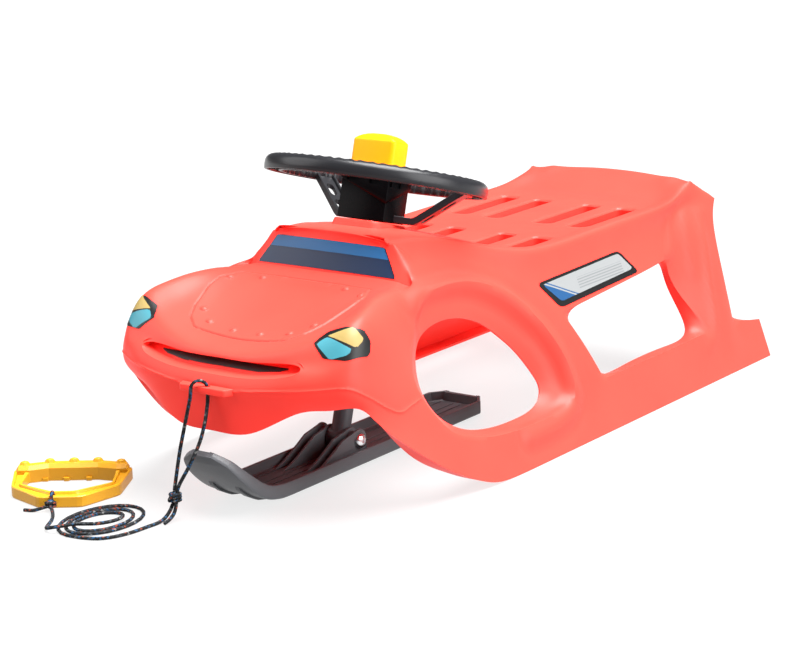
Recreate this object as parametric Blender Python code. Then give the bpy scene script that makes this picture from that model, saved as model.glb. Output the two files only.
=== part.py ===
"""Child's steerable snow sled: a moulded car-shaped shell on two runners, a steered front ski under a
column with a wheel and a squeeze horn, and a tow rope with a finger-grip handle.

Metres, +Z up. The nose points to -Y, the driver's left is +X, and Z = 0 is the snow.
"""

import math

import bmesh
import bpy
from mathutils import Matrix, Vector

# Overall sizes
HALF_LENGTH = 0.487
FLOOR_HALF_WIDTH = 0.225
SIDE_LEAN = 0.36
SEAT_HEIGHT = 0.231
ROOF_HEIGHT = 0.294
WALL = 0.0035
GAP = 0.0003

# Runners and the inward flanges of the shell
RAIL_HEIGHT = 0.062
SOLE_WIDTH = 0.028
FLANGE = 0.024
TAIL_HEIGHT = 0.051

# Seat slots; a row is the middle's y and the slot's length
SLOT_WIDTH = 0.025
SLOT_RIM = 0.0026
SLOT_DEPTH = 0.013
SLOT_ROWS = ((0.055, 0.092), (0.245, 0.134))
SLOT_COLUMNS = (0.040, 0.094)

# Ledge under the nose that the rope hangs from
LEDGE_HALF_WIDTH = 0.033
LEDGE_TOP = 0.156
LEDGE_THICKNESS = 0.008
LEDGE_FRONT = -0.4795
ROPE_HOLE_X = 0.004
ROPE_HOLE_Y = -0.4725
ROPE_HOLE_RADIUS = 0.0036

# Steering column; heights on it are measured from the wheel's centre along its axis
COLUMN_TILT = math.radians(16.5)
WHEEL_CENTRE = (0.0, -0.132, 0.342)
COLUMN_RADIUS = 0.012
SPIGOT_RADIUS = 0.0085
COLLAR_TOP = -0.0565
COLLAR_HEIGHT = 0.020
COLLAR_HALF_WIDTH = 0.034
TUBE_WALL = 0.004
TUBE_LENGTH = 0.165
BUSH_WALL = 0.003
BUSH_HEIGHT = 0.0145
PIVOT_HEIGHT = 0.030

# Wheel
RIM_RADIUS = 0.128
RIM_CELLS = 20
HUB_HALF_X = 0.040
HUB_HALF_Y = 0.030
HUB_CUT = 0.0155
HUB_TOP = -0.002
HUB_BOTTOM = -0.055
HUB_FLOOR = 0.020
HUB_WALL = 0.0035
ARM_HALF_WIDTH = 0.0135
ARM_TURN = math.radians(20)

# Horn
HORN_HALF_X = 0.0322
HORN_HALF_Y = 0.0200
HORN_CUT = 0.0100
HORN_TOP = 0.053
HORN_BOTTOM = -0.008
HORN_WALL = 0.0025
HORN_CEILING = 0.047
HORN_TRAVEL = 0.004

# Ski
SKI_HALF_WIDTH = 0.042
SKI_BASE = 0.003
SKI_FLOOR = 0.006
EYE_HALF_WIDTH = 0.0120
BOLT_RADIUS = 0.004

# Rope and its handle
ROPE_RADIUS = 0.00225
KNOT_CENTRE = (-0.024, -0.506, 0.0275)
HANDLE_CENTRE = (-0.2264, -0.4648, 0.0)
HANDLE_TURN = math.radians(35)
HANDLE_HEIGHT = 0.0145
GRIP_HEIGHT = 0.0215
HANDLE_ROPE_X = -0.010
DOME_SPACING = 0.0295
LOOP_CENTRES = ((-0.0910, -0.5560), (-0.0920, -0.5620))
LOOP_WIDTHS = (0.0445, 0.018)
LOOP_DEPTHS = (0.062, 0.026)


def side_x(z, out=0.0):
    """Half width of the leaning side wall at height z."""
    return FLOOR_HALF_WIDTH - SIDE_LEAN * z + out


# Lines that run along the top of the shell, as shares of its half width, centre line first
LINES = (0.0, 0.32, 0.64, 0.84, 1.0)

# Crosswise sections along the top: centre y and z, how far the edge is out of the side wall's plane,
# edge y and z, then how late the section leaves its centre height and its centre y on the way there
TOP = (
    (-0.437, 0.192, 0.0164, -0.395, 0.226, 2.2, 2.5),
    (-0.390, 0.202, 0.0130, -0.362, 0.239, 2.2, 2.0),
    (-0.320, 0.224, 0.0016, -0.315, 0.246, 2.2, 2.0),
    (-0.252, 0.246, -0.0136, -0.238, 0.240, 4.0, 2.0),
    (-0.236, 0.283, -0.0305, -0.224, 0.282, 2.0, 2.0),
    (-0.229, ROOF_HEIGHT, -0.0375, -0.228, 0.2860, 2.0, 2.0),
    (-0.175, ROOF_HEIGHT - 0.006, -0.0266, -0.165, 0.279, 3.0, 2.0),
    (-0.105, ROOF_HEIGHT - 0.021, -0.0187, -0.098, 0.262, 3.0, 2.0),
    (-0.035, SEAT_HEIGHT + 0.017, -0.0068, -0.035, SEAT_HEIGHT + 0.014, 3.0, 2.0),
    (0.035, SEAT_HEIGHT, 0.0013, 0.035, SEAT_HEIGHT + 0.006, 5.0, 2.0),
    (0.150, SEAT_HEIGHT, 0.0010, 0.150, SEAT_HEIGHT + 0.005, 5.0, 2.0),
    (0.250, SEAT_HEIGHT, 0.0010, 0.250, SEAT_HEIGHT + 0.005, 5.0, 2.0),
    (0.330, SEAT_HEIGHT, 0.0010, 0.340, SEAT_HEIGHT + 0.005, 5.0, 2.0),
    (0.378, SEAT_HEIGHT + 0.005, -0.0035, 0.388, SEAT_HEIGHT + 0.012, 4.0, 2.0),
    (0.427, SEAT_HEIGHT + 0.025, -0.0029, 0.424, SEAT_HEIGHT + 0.022, 2.0, 2.0),
)

# The rear of the backrest, below its top: centre y and z; its edge is the rear of the side wall
REAR = ((0.446, SEAT_HEIGHT + 0.019), (0.452, SEAT_HEIGHT - 0.036))

# The front face from under the hood down to its lower rim: centre y, heights on the lines but the last,
# then how late the row leaves its centre y
FRONT = (
    (-0.447, (0.184, 0.1845, 0.1875, 0.1945), 3.5),
    (-0.462, (0.168, 0.1690, 0.1775, 0.1810), 3.5),
    (-0.468, (0.155, 0.1553, 0.1610, 0.1640), 3.5),
    (-0.466, (0.138, 0.1390, 0.1445, 0.1475), 3.0),
    (-0.464, (0.101, 0.1035, 0.1315, 0.1355), 2.5),
)

# Upright columns of the side wall, nose to tail: y, z and how far out of the leaning plane, for the
# shoulder, the window top, the window middle, the window bottom and the lower edge
SIDE = (
    ((-0.408, 0.205, 0.021), (-0.412, 0.184, 0.017), (-0.414, 0.166, 0.013), (-0.413, 0.150, 0.007),
     (-0.408, 0.137, -0.003)),
    ((-0.350, 0.212, 0.019), (-0.342, 0.184, 0.015), (-0.338, 0.152, 0.010), (-0.350, 0.124, 0.004),
     (-0.376, 0.106, -0.003)),
    ((-0.302, 0.224, 0.009), (-0.297, 0.178, 0.006), (-0.306, 0.135, 0.005), (-0.272, 0.082, 0.002),
     (-0.320, 0.060, 0.0)),
    ((-0.243, 0.236, -0.002), (-0.252, 0.222, 0.003), None, (-0.235, 0.064, 0.0), (-0.273, 0.030, 0.0)),
    ((-0.208, 0.243, -0.010), (-0.210, 0.232, 0.001), None, (-0.195, 0.054, 0.0), (-0.224, 0.008, 0.0)),
    ((-0.172, 0.247, -0.014), (-0.165, 0.230, 0.0), None, (-0.150, 0.049, 0.0), (-0.178, 0.0, 0.0)),
    ((-0.135, 0.245, -0.014), (-0.118, 0.219, 0.0), None, (-0.102, 0.047, 0.0), (-0.110, 0.0, 0.0)),
    ((-0.085, 0.236, -0.012), (-0.068, 0.194, 0.0), None, (-0.052, 0.047, 0.0), (-0.050, 0.0, 0.0)),
    ((-0.035, 0.220, -0.006), (-0.026, 0.152, 0.0), (0.000, 0.100, 0.0), (-0.006, 0.056, 0.0),
     (0.0, 0.0, 0.0)),
    ((0.030, 0.212, -0.001), (0.026, 0.155, 0.0), (0.052, 0.108, 0.0), (0.071, RAIL_HEIGHT, 0.0),
     (0.075, 0.0, 0.0)),
    ((0.150, 0.212, -0.001), (0.145, 0.161, 0.0), None, (0.165, RAIL_HEIGHT, 0.0), (0.170, 0.0, 0.0)),
    ((0.250, 0.212, -0.001), (0.240, 0.166, 0.0), None, (0.260, RAIL_HEIGHT, 0.0), (0.265, 0.0, 0.0)),
    ((0.335, 0.212, -0.008), (0.303, 0.169, -0.004), (0.320, 0.125, -0.014), (0.355, RAIL_HEIGHT, -0.002),
     (0.350, 0.0, 0.0)),
    ((0.385, 0.224, -0.008), (0.378, 0.205, 0.002), (0.386, 0.125, 0.002), (0.390, RAIL_HEIGHT, 0.002),
     (0.395, 0.0, 0.0)),
    ((0.462, 0.227, 0.0), (0.445, 0.193, 0.0), (0.430, 0.130, 0.0), (0.417, RAIL_HEIGHT, 0.0),
     (0.430, 0.0, 0.0)),
    (None, None, None, (HALF_LENGTH, TAIL_HEIGHT, 0.0), (HALF_LENGTH, 0.0, 0.0)),
)

# Edges of the two side windows: column, row of SIDE, then y, z and offset of the flange's inner edge
FRONT_WINDOW = (
    (2, 1, -0.283, 0.163, -0.005), (3, 1, -0.262, 0.184, -0.006), (4, 1, -0.225, 0.193, -0.007),
    (5, 1, -0.180, 0.190, -0.009), (6, 1, -0.135, 0.175, -0.012), (7, 1, -0.098, 0.150, -0.017),
    (8, 1, -0.066, 0.122, -0.022), (8, 2, -0.042, 0.088, -0.025), (8, 3, -0.040, 0.068, -0.025),
    (7, 3, -0.065, 0.054, -0.025), (6, 3, -0.105, 0.051, -0.024), (5, 3, -0.150, 0.053, -0.022),
    (4, 3, -0.195, 0.060, -0.018), (3, 3, -0.235, 0.073, -0.013), (2, 3, -0.270, 0.096, -0.009),
    (2, 2, -0.289, 0.130, -0.006),
)
REAR_WINDOW = (
    (9, 1, 0.030, 0.152, -0.014), (10, 1, 0.145, 0.158, -0.014), (11, 1, 0.240, 0.163, -0.014),
    (12, 1, 0.302, 0.165, -0.016), (12, 2, 0.318, 0.124, -0.026), (12, 3, 0.338, 0.060, -FLANGE),
    (11, 3, 0.262, 0.058, -FLANGE), (10, 3, 0.167, 0.058, -FLANGE), (9, 3, 0.078, 0.057, -FLANGE),
    (9, 2, 0.055, 0.108, -0.014),
)

# Ski sections from tip to tail: y and z of the base, half width, edge height, floor thickness
SKI = (
    (-HALF_LENGTH, 0.0755, 0.016, 0.008, 0.0075),
    (-0.4810, 0.0670, 0.030, 0.010, 0.0090),
    (-0.4770, 0.0615, 0.0355, 0.011, 0.0050),
    (-0.4660, 0.0480, 0.0400, 0.013, 0.0050),
    (-0.4500, 0.0325, SKI_HALF_WIDTH, 0.015, 0.0055),
    (-0.4330, 0.0190, SKI_HALF_WIDTH, 0.016, SKI_FLOOR),
    (-0.4140, 0.0090, SKI_HALF_WIDTH, 0.017, SKI_FLOOR),
    (-0.3930, 0.0040, SKI_HALF_WIDTH, 0.018, SKI_FLOOR),
    (-0.3750, SKI_BASE, SKI_HALF_WIDTH, 0.018, SKI_FLOOR),
    (-0.1500, SKI_BASE, SKI_HALF_WIDTH, 0.018, SKI_FLOOR),
    (0.0240, SKI_BASE, SKI_HALF_WIDTH, 0.018, SKI_FLOOR),
    (0.0360, SKI_BASE, 0.033, 0.018, SKI_FLOOR),
    (0.0380, SKI_BASE, 0.031, 0.018, 0.0170),
    (0.0440, SKI_BASE, 0.028, 0.018, 0.0170),
)

# One plate of the ski's bracket: y and z, tip side first; the arc round the bolt is added to it
EAR_FRONT = ((-0.327, 0.006), (-0.317, 0.0100), (-0.298, 0.0165), (-0.278, 0.0265), (-0.257, 0.0380))
EAR_REAR = ((-0.2095, 0.018), (-0.206, 0.0100), (-0.187, 0.0080), (-0.172, 0.006))
EAR_PLATES = ((0.0135, 0.0170), (0.0270, 0.0305))

# Rope from the knot over the ledge and back, and the lead to the coil
STRAND_UP = ((-0.0262, -0.5045, 0.0345), (-0.0268, -0.4995, 0.050), (-0.0240, -0.4940, 0.080),
             (-0.0175, -0.4890, 0.115), (-0.0105, -0.4850, 0.148))
STRAND_DOWN = ((0.0041, -0.4726, 0.149), (0.0047, -0.4750, 0.135), (0.0048, -0.4818, 0.113),
               (0.0010, -0.4890, 0.090), (-0.0095, -0.4970, 0.063), (-0.0185, -0.5030, 0.044),
               (-0.0213, -0.5055, 0.0345))
LEAD = ((-0.0266, -0.5080, 0.0196), (-0.0272, -0.5130, 0.0120), (-0.0284, -0.5220, 0.0050),
        (-0.0300, -0.5320, 0.0024), (-0.0315, -0.5480, 0.0023), (-0.0335, -0.5700, 0.0023),
        (-0.0400, -0.5920, 0.0023), (-0.0520, -0.6080, 0.0023), (-0.0700, -0.6155, 0.0023))
COIL_OUT = ((-0.0995, -0.5965, 0.0078), (-0.1040, -0.6050, 0.0079), (-0.1090, -0.6125, 0.0078),
            (-0.1155, -0.6172, 0.0068), (-0.1230, -0.6168, 0.0047), (-0.1300, -0.6105, 0.0027),
            (-0.1365, -0.6000, 0.0023), (-0.1425, -0.5890, 0.0027), (-0.1500, -0.5790, 0.0043),
            (-0.1580, -0.5715, 0.0060), (-0.1672, -0.5641, 0.0075))


def power_line(centre, edge, shares, height_power, bow_power):
    """Points from the centre line to an edge point, held back by the two powers."""
    points = []
    for share in shares:
        y = centre[0] + (edge[1] - centre[0]) * share**bow_power
        z = centre[1] + (edge[2] - centre[1]) * share**height_power
        points.append((edge[0] * share, y, z))
    return points


def bridge(bm, outer, inner, closed=True):
    """Quads between two chains of points of the same length."""
    count = len(outer)
    for i in range(count if closed else count - 1):
        j = (i + 1) % count
        bm.faces.new((outer[i], outer[j], inner[j], inner[i]))


def crease(bm, chain, value, closed=False):
    """Sharpens the edges along a chain of cage points; a missing point breaks the chain."""
    layer = bm.edges.layers.float["crease_edge"]
    pairs = list(zip(chain, chain[1:]))
    if closed:
        pairs.append((chain[-1], chain[0]))
    for a, b in pairs:
        edge = bm.edges.get((a, b)) if a and b else None
        if edge:
            edge[layer] = value


def shell_cage():
    """The left half of the shell as a cage of quads, with its windows, mouth and flanges."""
    bm = bmesh.new()
    bm.edges.layers.float.new("crease_edge")
    side = []
    for column in SIDE:
        side.append([p and bm.verts.new((side_x(p[1], p[2]), p[0], p[1])) for p in column])
    top = []
    for yc, zc, out, ye, ze, height_power, bow_power in TOP:
        points = power_line((yc, zc), (side_x(ze, out), ye, ze), LINES, height_power, bow_power)
        top.append([bm.verts.new(p) for p in points])
    for (yc, zc), corner in zip(REAR, side[14][:2]):
        points = power_line((yc, zc), corner.co, LINES[:-1], 2.0, 2.0)
        top.append([bm.verts.new(p) for p in points] + [corner])
    front = [top[0]]
    for (yc, heights, bow_power), corner in zip(FRONT, side[0]):
        points = power_line((yc, 0.0), corner.co, LINES[:-1], 1.0, bow_power)
        row = [bm.verts.new((x, y, z)) for (x, y, _), z in zip(points, heights)]
        front.append(row + [corner])
    mouth = []
    for lower, upper in zip(top, top[1:]):
        for i in range(len(LINES) - 1):
            bm.faces.new((lower[i], lower[i + 1], upper[i + 1], upper[i]))
    for row, (upper, lower) in enumerate(zip(front, front[1:])):
        for i in range(len(LINES) - 1):
            face = bm.faces.new((lower[i], lower[i + 1], upper[i + 1], upper[i]))
            if row == 1 and i < 2:
                mouth.append(face)
    windows = [(2, 8), (9, 12)]
    for column in range(len(SIDE) - 1):
        rows = [[top[column][4]] + side[column]]
        rows.append(([top[column + 1][4]] if column < 14 else [None]) + side[column + 1])
        for row in range(5):
            if row in (2, 3) and any(a <= column < b for a, b in windows):
                continue
            ring = [rows[0][row], rows[0][row + 1], rows[1][row + 1], rows[1][row]]
            if None not in ring:
                bm.faces.new(ring)
    for window in (FRONT_WINDOW, REAR_WINDOW):
        outer = [side[column][row] for column, row, *_ in window]
        inner = [bm.verts.new((side_x(z, out), y, z)) for _, _, y, z, out in window]
        bridge(bm, outer, inner)
        crease(bm, outer, 0.5, closed=True)
    edge_flange(bm, front[-1], side, top[-1])
    crease(bm, front[-1] + [side[1][4]], 0.6)
    crease(bm, [column[4] for column in side[1:5]], 0.7)
    crease(bm, [column[4] for column in side[4:]], 1.0)
    crease(bm, side[15][3:], 1.0)
    crease(bm, [top[-2][4], side[14][1], side[14][2], side[14][3], side[15][3]], 0.6)
    crease(bm, top[3], 0.7)
    crease(bm, top[5], 0.3)
    crease(bm, top[14][:4], 0.35)
    bm.normal_update()
    recess(bm, mouth, 0.0035, 0.015)
    bmesh.ops.recalc_face_normals(bm, faces=bm.faces)
    return bm


def edge_flange(bm, front_rim, side, rear_rim):
    """The inward flange along the lower and rear edges, which makes the runners' soles."""
    steps = [(v, Vector((0, 0.014, 0.002))) for v in front_rim[:-1]]
    steps.append((front_rim[-1], Vector((-0.008, 0.012, 0.002))))
    steps.append((side[1][4], Vector((-0.018, 0.010, 0.004))))
    for column in range(2, 16):
        steps.append((side[column][4], Vector((-SOLE_WIDTH, 0, 0))))
    for corner in (side[15][3], side[14][3], side[14][2]):
        steps.append((corner, Vector((-FLANGE, 0, 0))))
    steps.append((rear_rim[-1], Vector((-0.016, -0.008, -0.006))))
    for v in reversed(rear_rim[:-1]):
        steps.append((v, Vector((0, -0.012, -0.002))))
    outer = [v for v, _ in steps]
    inner = [bm.verts.new(v.co + step) for v, step in steps]
    bridge(bm, outer, inner, closed=False)


def recess(bm, faces, rim, depth):
    """Insets a group of faces and pushes them in along +Y."""
    bmesh.ops.inset_region(bm, faces=faces, thickness=rim, use_even_offset=True, use_boundary=False)
    for v in {v for face in faces for v in face.verts}:
        v.co.y += depth


def fit_cage(cage, rounds):
    """Moves the cage so that the smoothed surface passes through the cage's first points."""
    wanted = [v.co.copy() for v in cage.data.vertices]
    for _ in range(rounds):
        bpy.context.view_layer.update()
        smooth = cage.evaluated_get(bpy.context.evaluated_depsgraph_get()).to_mesh()
        reached = [smooth.vertices[i].co.copy() for i in range(len(wanted))]
        for v, goal, now in zip(cage.data.vertices, wanted, reached):
            v.co += goal - now
            v.co.x = min(max(v.co.x, 0.0), FLOOR_HALF_WIDTH)
            v.co.y = min(v.co.y, HALF_LENGTH)
            v.co.z = max(v.co.z, 0.0)
        cage.data.update()


def clear_scene():
    for obj in list(bpy.data.objects):
        bpy.data.objects.remove(obj)


def plastic(name, colour, roughness=0.4, metallic=0.0):
    material = bpy.data.materials.new(name)
    material.use_nodes = True
    shader = material.node_tree.nodes["Principled BSDF"]
    shader.inputs["Base Color"].default_value = (*colour, 1.0)
    shader.inputs["Roughness"].default_value = roughness
    shader.inputs["Metallic"].default_value = metallic
    return material


def add_object(name, bm, material=None, matrix=None):
    """Makes an object from a bmesh, moved by the matrix first, and frees the bmesh."""
    if matrix is not None:
        bmesh.ops.transform(bm, matrix=matrix, verts=bm.verts)
    mesh = bpy.data.meshes.new(name)
    bm.to_mesh(mesh)
    bm.free()
    obj = bpy.data.objects.new(name, mesh)
    if material:
        mesh.materials.append(material)
    bpy.context.scene.collection.objects.link(obj)
    return obj


def combine(obj, operation, bm, matrix=None):
    """Adds a Boolean modifier with a hidden helper made from the bmesh."""
    helper = add_object(f"{obj.name}_tool_{len(obj.modifiers)}", bm, None, matrix)
    helper.hide_render = True
    helper.display_type = "WIRE"
    modifier = obj.modifiers.new(helper.name, "BOOLEAN")
    modifier.operation = operation
    modifier.solver = "EXACT"
    modifier.object = helper
    return helper


def prism(points, offset):
    """A closed solid from a ring of points swept by an offset."""
    bm = bmesh.new()
    add_prism(bm, points, offset)
    return bm


def add_prism(bm, points, offset):
    low = [bm.verts.new(p) for p in points]
    high = [bm.verts.new(Vector(p) + Vector(offset)) for p in points]
    bridge(bm, low, high)
    bm.faces.new(low)
    bm.faces.new(high)
    bmesh.ops.recalc_face_normals(bm, faces=bm.faces)


def rod(start, end, radius, sides=24, end_radius=None):
    """A closed cylinder or cone between two points."""
    bm = bmesh.new()
    add_rod(bm, start, end, radius, sides, end_radius)
    return bm


def add_rod(bm, start, end, radius, sides=24, end_radius=None):
    start = Vector(start)
    end = Vector(end)
    axis = (end - start).normalized()
    across = axis.cross(Vector((0, 1, 0)) if abs(axis.y) < 0.9 else Vector((1, 0, 0))).normalized()
    other = axis.cross(across)
    rings = []
    for centre, r in ((start, radius), (end, radius if end_radius is None else end_radius)):
        turns = [2 * math.pi * i / sides for i in range(sides)]
        ring = [centre + r * (across * math.cos(t) + other * math.sin(t)) for t in turns]
        rings.append([bm.verts.new(p) for p in ring])
    bridge(bm, rings[0], rings[1])
    bm.faces.new(rings[0])
    bm.faces.new(rings[1])
    bmesh.ops.recalc_face_normals(bm, faces=bm.faces)


def lathe(profile, sides=24):
    """A closed solid of revolution about local Z from (radius, height) pairs, radius above 0."""
    bm = bmesh.new()
    rings = []
    for i in range(sides):
        t = 2 * math.pi * i / sides
        rings.append([bm.verts.new((r * math.cos(t), r * math.sin(t), z)) for r, z in profile])
    for i in range(sides):
        bridge(bm, rings[i], rings[(i + 1) % sides])
    bmesh.ops.recalc_face_normals(bm, faces=bm.faces)
    return bm


def box(low, high):
    (x0, y0, z0), (x1, y1, z1) = low, high
    return prism([(x0, y0, z0), (x1, y0, z0), (x1, y1, z0), (x0, y1, z0)], (0, 0, z1 - z0))


def rounded_rectangle(half_x, half_y, radius, steps=3):
    """Corner points of a rectangle with rounded corners, centred on 0."""
    points = []
    corners = ((1, 1, 0), (-1, 1, 90), (-1, -1, 180), (1, -1, 270))
    for sx, sy, start in corners:
        for i in range(steps + 1):
            t = math.radians(start + 90 * i / steps)
            x = sx * (half_x - radius) + radius * math.cos(t)
            y = sy * (half_y - radius) + radius * math.sin(t)
            points.append((x, y))
    return points


def stack(rings, bottom=True):
    """A closed solid through rings of points; without a bottom the first and last rings join."""
    bm = bmesh.new()
    made = [[bm.verts.new(p) for p in ring] for ring in rings]
    for lower, upper in zip(made, made[1:]):
        bridge(bm, lower, upper)
    if bottom:
        bm.faces.new(made[0])
        bm.faces.new(made[-1])
    else:
        bridge(bm, made[-1], made[0])
    bmesh.ops.recalc_face_normals(bm, faces=bm.faces)
    return bm


def spline(points, per_span):
    """A smooth line through the points."""
    points = [Vector(p) for p in points]
    full = [2 * points[0] - points[1]] + points + [2 * points[-1] - points[-2]]
    line = []
    for a, b, c, d in zip(full, full[1:], full[2:], full[3:]):
        for i in range(per_span):
            t = i / per_span
            line.append(0.5 * (2 * b + (c - a) * t + (2 * a - 5 * b + 4 * c - d) * t * t
                               + (3 * b - a - 3 * c + d) * t**3))
    line.append(points[-1])
    return line


def rope(name, line, material, resolution=1):
    """A round cord along a line of points, with flat ends."""
    curve = bpy.data.curves.new(name, "CURVE")
    curve.dimensions = "3D"
    curve.bevel_depth = ROPE_RADIUS
    curve.bevel_resolution = resolution
    curve.use_fill_caps = True
    curve.materials.append(material)
    path = curve.splines.new("POLY")
    path.points.add(len(line) - 1)
    for point, place in zip(path.points, line):
        point.co = (*place, 1.0)
    obj = bpy.data.objects.new(name, curve)
    bpy.context.scene.collection.objects.link(obj)
    return obj


def column_matrix():
    """Column frame: X across the sled, Z up the column, origin at the wheel's centre."""
    return Matrix.Translation(WHEEL_CENTRE) @ Matrix.Rotation(-COLUMN_TILT, 4, "X")


def pivot_point():
    """Where the column's axis meets the ski's hinge bolt."""
    drop = WHEEL_CENTRE[2] - PIVOT_HEIGHT
    return Vector((0.0, WHEEL_CENTRE[1] - drop * math.tan(COLUMN_TILT), PIVOT_HEIGHT))


def make_shell(material):
    shell = add_object("shell", shell_cage(), material)
    mirror = shell.modifiers.new("halves", "MIRROR")
    mirror.merge_threshold = 0.0001
    smooth = shell.modifiers.new("smooth", "SUBSURF")
    smooth.levels = 1
    smooth.render_levels = 1
    smooth.use_limit_surface = False
    fit_cage(shell, 2)
    split = shell.modifiers.new("triangles", "TRIANGULATE")
    split.quad_method = "SHORTEST_DIAGONAL"
    bpy.context.view_layer.update()
    graph = bpy.context.evaluated_depsgraph_get()
    skin = bpy.data.meshes.new_from_object(shell.evaluated_get(graph))
    wall = shell.modifiers.new("wall", "SOLIDIFY")
    wall.thickness = WALL
    wall.offset = -1
    wall.use_even_offset = False
    shell_fittings(shell)
    return shell, skin


def shell_fittings(shell):
    """Slot walls, steering tube, collar and rope ledge, then the holes through them."""
    walls = bmesh.new()
    holes = bmesh.new()
    for x in SLOT_COLUMNS:
        for y, length in SLOT_ROWS:
            for sign in (-1, 1):
                outer = rounded_rectangle(SLOT_WIDTH / 2 + SLOT_RIM, length / 2 + SLOT_RIM, 0.0096, 1)
                inner = rounded_rectangle(SLOT_WIDTH / 2, length / 2, 0.007, 1)
                low = SEAT_HEIGHT - SLOT_DEPTH
                add_prism(walls, [(sign * x + a, y + b, low) for a, b in outer], (0, 0, SLOT_DEPTH - 0.0015))
                add_prism(holes, [(sign * x + a, y + b, low - 0.01) for a, b in inner], (0, 0, 0.04))
    combine(shell, "UNION", walls)
    combine(shell, "DIFFERENCE", holes)
    frame = column_matrix()
    bore = COLUMN_RADIUS + GAP + BUSH_WALL + GAP
    foot = COLLAR_TOP - COLLAR_HEIGHT
    rings = []
    for flare, height in ((0.005, foot), (0.0045, foot + 0.012), (0.002, COLLAR_TOP - 0.0015),
                          (0.0, COLLAR_TOP)):
        half = COLLAR_HALF_WIDTH + flare
        rings.append([(x, y, height) for x, y in rounded_rectangle(half, half, 0.012)])
    combine(shell, "UNION", stack(rings), frame)
    tube_end = COLLAR_TOP - TUBE_LENGTH
    combine(shell, "UNION", rod((0, 0, tube_end), (0, 0, COLLAR_TOP - 0.006), bore + TUBE_WALL, 24), frame)
    fins = bmesh.new()
    for sign in (-1, 1):
        inner = sign * (bore + TUBE_WALL - 0.001)
        profile = ((inner, 0.281), (sign * 0.062, 0.281), (sign * 0.060, 0.262), (inner, 0.205))
        add_prism(fins, [(x, -0.1585, z) for x, z in profile], (0, 0.003, 0))
    combine(shell, "UNION", fins)
    combine(shell, "DIFFERENCE", rod((0, 0, tube_end - 0.01), (0, 0, 0.02), bore, 24), frame)
    root = LEDGE_HALF_WIDTH + 0.006
    ledge = [(-root, -0.4650), (-LEDGE_HALF_WIDTH, LEDGE_FRONT), (LEDGE_HALF_WIDTH, LEDGE_FRONT),
             (root, -0.4650)]
    low = LEDGE_TOP - LEDGE_THICKNESS
    combine(shell, "UNION", prism([(x, y, low) for x, y in ledge], (0, 0, LEDGE_THICKNESS)))
    hole = rod((ROPE_HOLE_X, ROPE_HOLE_Y, low - 0.004), (ROPE_HOLE_X, ROPE_HOLE_Y, LEDGE_TOP + 0.004),
               ROPE_HOLE_RADIUS, 16)
    combine(shell, "DIFFERENCE", hole)


def decal(name, skin, outline, normal, material):
    """A thin sheet over the skin, cut to an outline that is swept along the normal."""
    normal = Vector(normal).normalized()
    outline = [Vector(p) for p in outline]
    centre = sum(outline, Vector()) / len(outline)
    reach = max((p - centre).length for p in outline) + 0.03
    bm = bmesh.new()
    bm.from_mesh(skin)
    bm.normal_update()
    spare = []
    for face in bm.faces:
        gap = face.calc_center_median() - centre
        depth = gap.dot(normal)
        across = (gap - depth * normal).length
        if across > reach or abs(depth) > 0.035 or face.normal.dot(normal) < 0.35:
            spare.append(face)
    bmesh.ops.delete(bm, geom=spare, context="FACES")
    for v in bm.verts:
        v.co += v.normal * GAP
    sheet = add_object(name, bm, material)
    thick = sheet.modifiers.new("thick", "SOLIDIFY")
    thick.thickness = 0.0005
    thick.offset = 1
    combine(sheet, "INTERSECT", prism([p - normal * 0.03 for p in outline], normal * 0.06))
    return sheet


def rounded_outline(corners, radius, steps=3):
    """Rounds the corners of a flat outline given as 3-D points."""
    corners = [Vector(c) for c in corners]
    points = []
    for i, corner in enumerate(corners):
        before = (corners[i - 1] - corner).normalized() * radius
        after = (corners[(i + 1) % len(corners)] - corner).normalized() * radius
        for k in range(steps + 1):
            t = k / steps
            points.append(corner + before * (1 - t) ** 2 + after * t * t)
    return points


def make_decals(skin):
    dark = plastic("screen_dark", (0.03, 0.06, 0.12), 0.15)
    lamp = plastic("lamp_amber", (0.9, 0.75, 0.5), 0.2)
    slats = plastic("grille_dark", (0.05, 0.05, 0.06), 0.5)
    label = plastic("label_print", (0.75, 0.78, 0.8), 0.3)
    screen = [(-0.105, -0.25, 0.2485), (0.105, -0.25, 0.2485), (0.081, -0.25, 0.2825),
              (-0.081, -0.25, 0.2825)]
    decal("windscreen_decal", skin, rounded_outline(screen, 0.010), (0, -1, 0.35), dark)
    top, middle, low = 0.1797, 0.1762, 0.1728
    mouth = [(-0.097, top), (-0.085, middle), (-0.055, low), (0.055, low), (0.085, middle), (0.097, top)]
    mouth = [(x, -0.44, z) for x, z in mouth]
    decal("grille_decal", skin, rounded_outline(mouth, 0.003), (0, -1, 0), slats)
    lamp_points = ((-0.0323, -0.4176, 0.2088), (-0.0200, -0.3990, 0.2185), (0.0041, -0.3935, 0.2255),
                   (0.0205, -0.3844, 0.2227), (0.0229, -0.3827, 0.2103), (0.0201, -0.3890, 0.1945),
                   (0.0103, -0.4191, 0.1945), (-0.0163, -0.4279, 0.1960))
    for name, sign in (("left", 1), ("right", -1)):
        corners = [(sign * side_x(z, out), y, z) for out, y, z in lamp_points]
        shape = rounded_outline(corners, 0.005, 2)
        decal(f"headlamp_decal_{name}", skin, shape, (sign * 0.396, -0.792, 0.466), lamp)
        corners = [(-0.006, 0.198), (0.192, 0.202), (0.224, 0.168), (0.026, 0.161)]
        shape = rounded_outline([(sign * side_x(z), y, z) for y, z in corners], 0.010)
        decal(f"side_label_{name}", skin, shape, (sign, 0, SIDE_LEAN), label)


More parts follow.
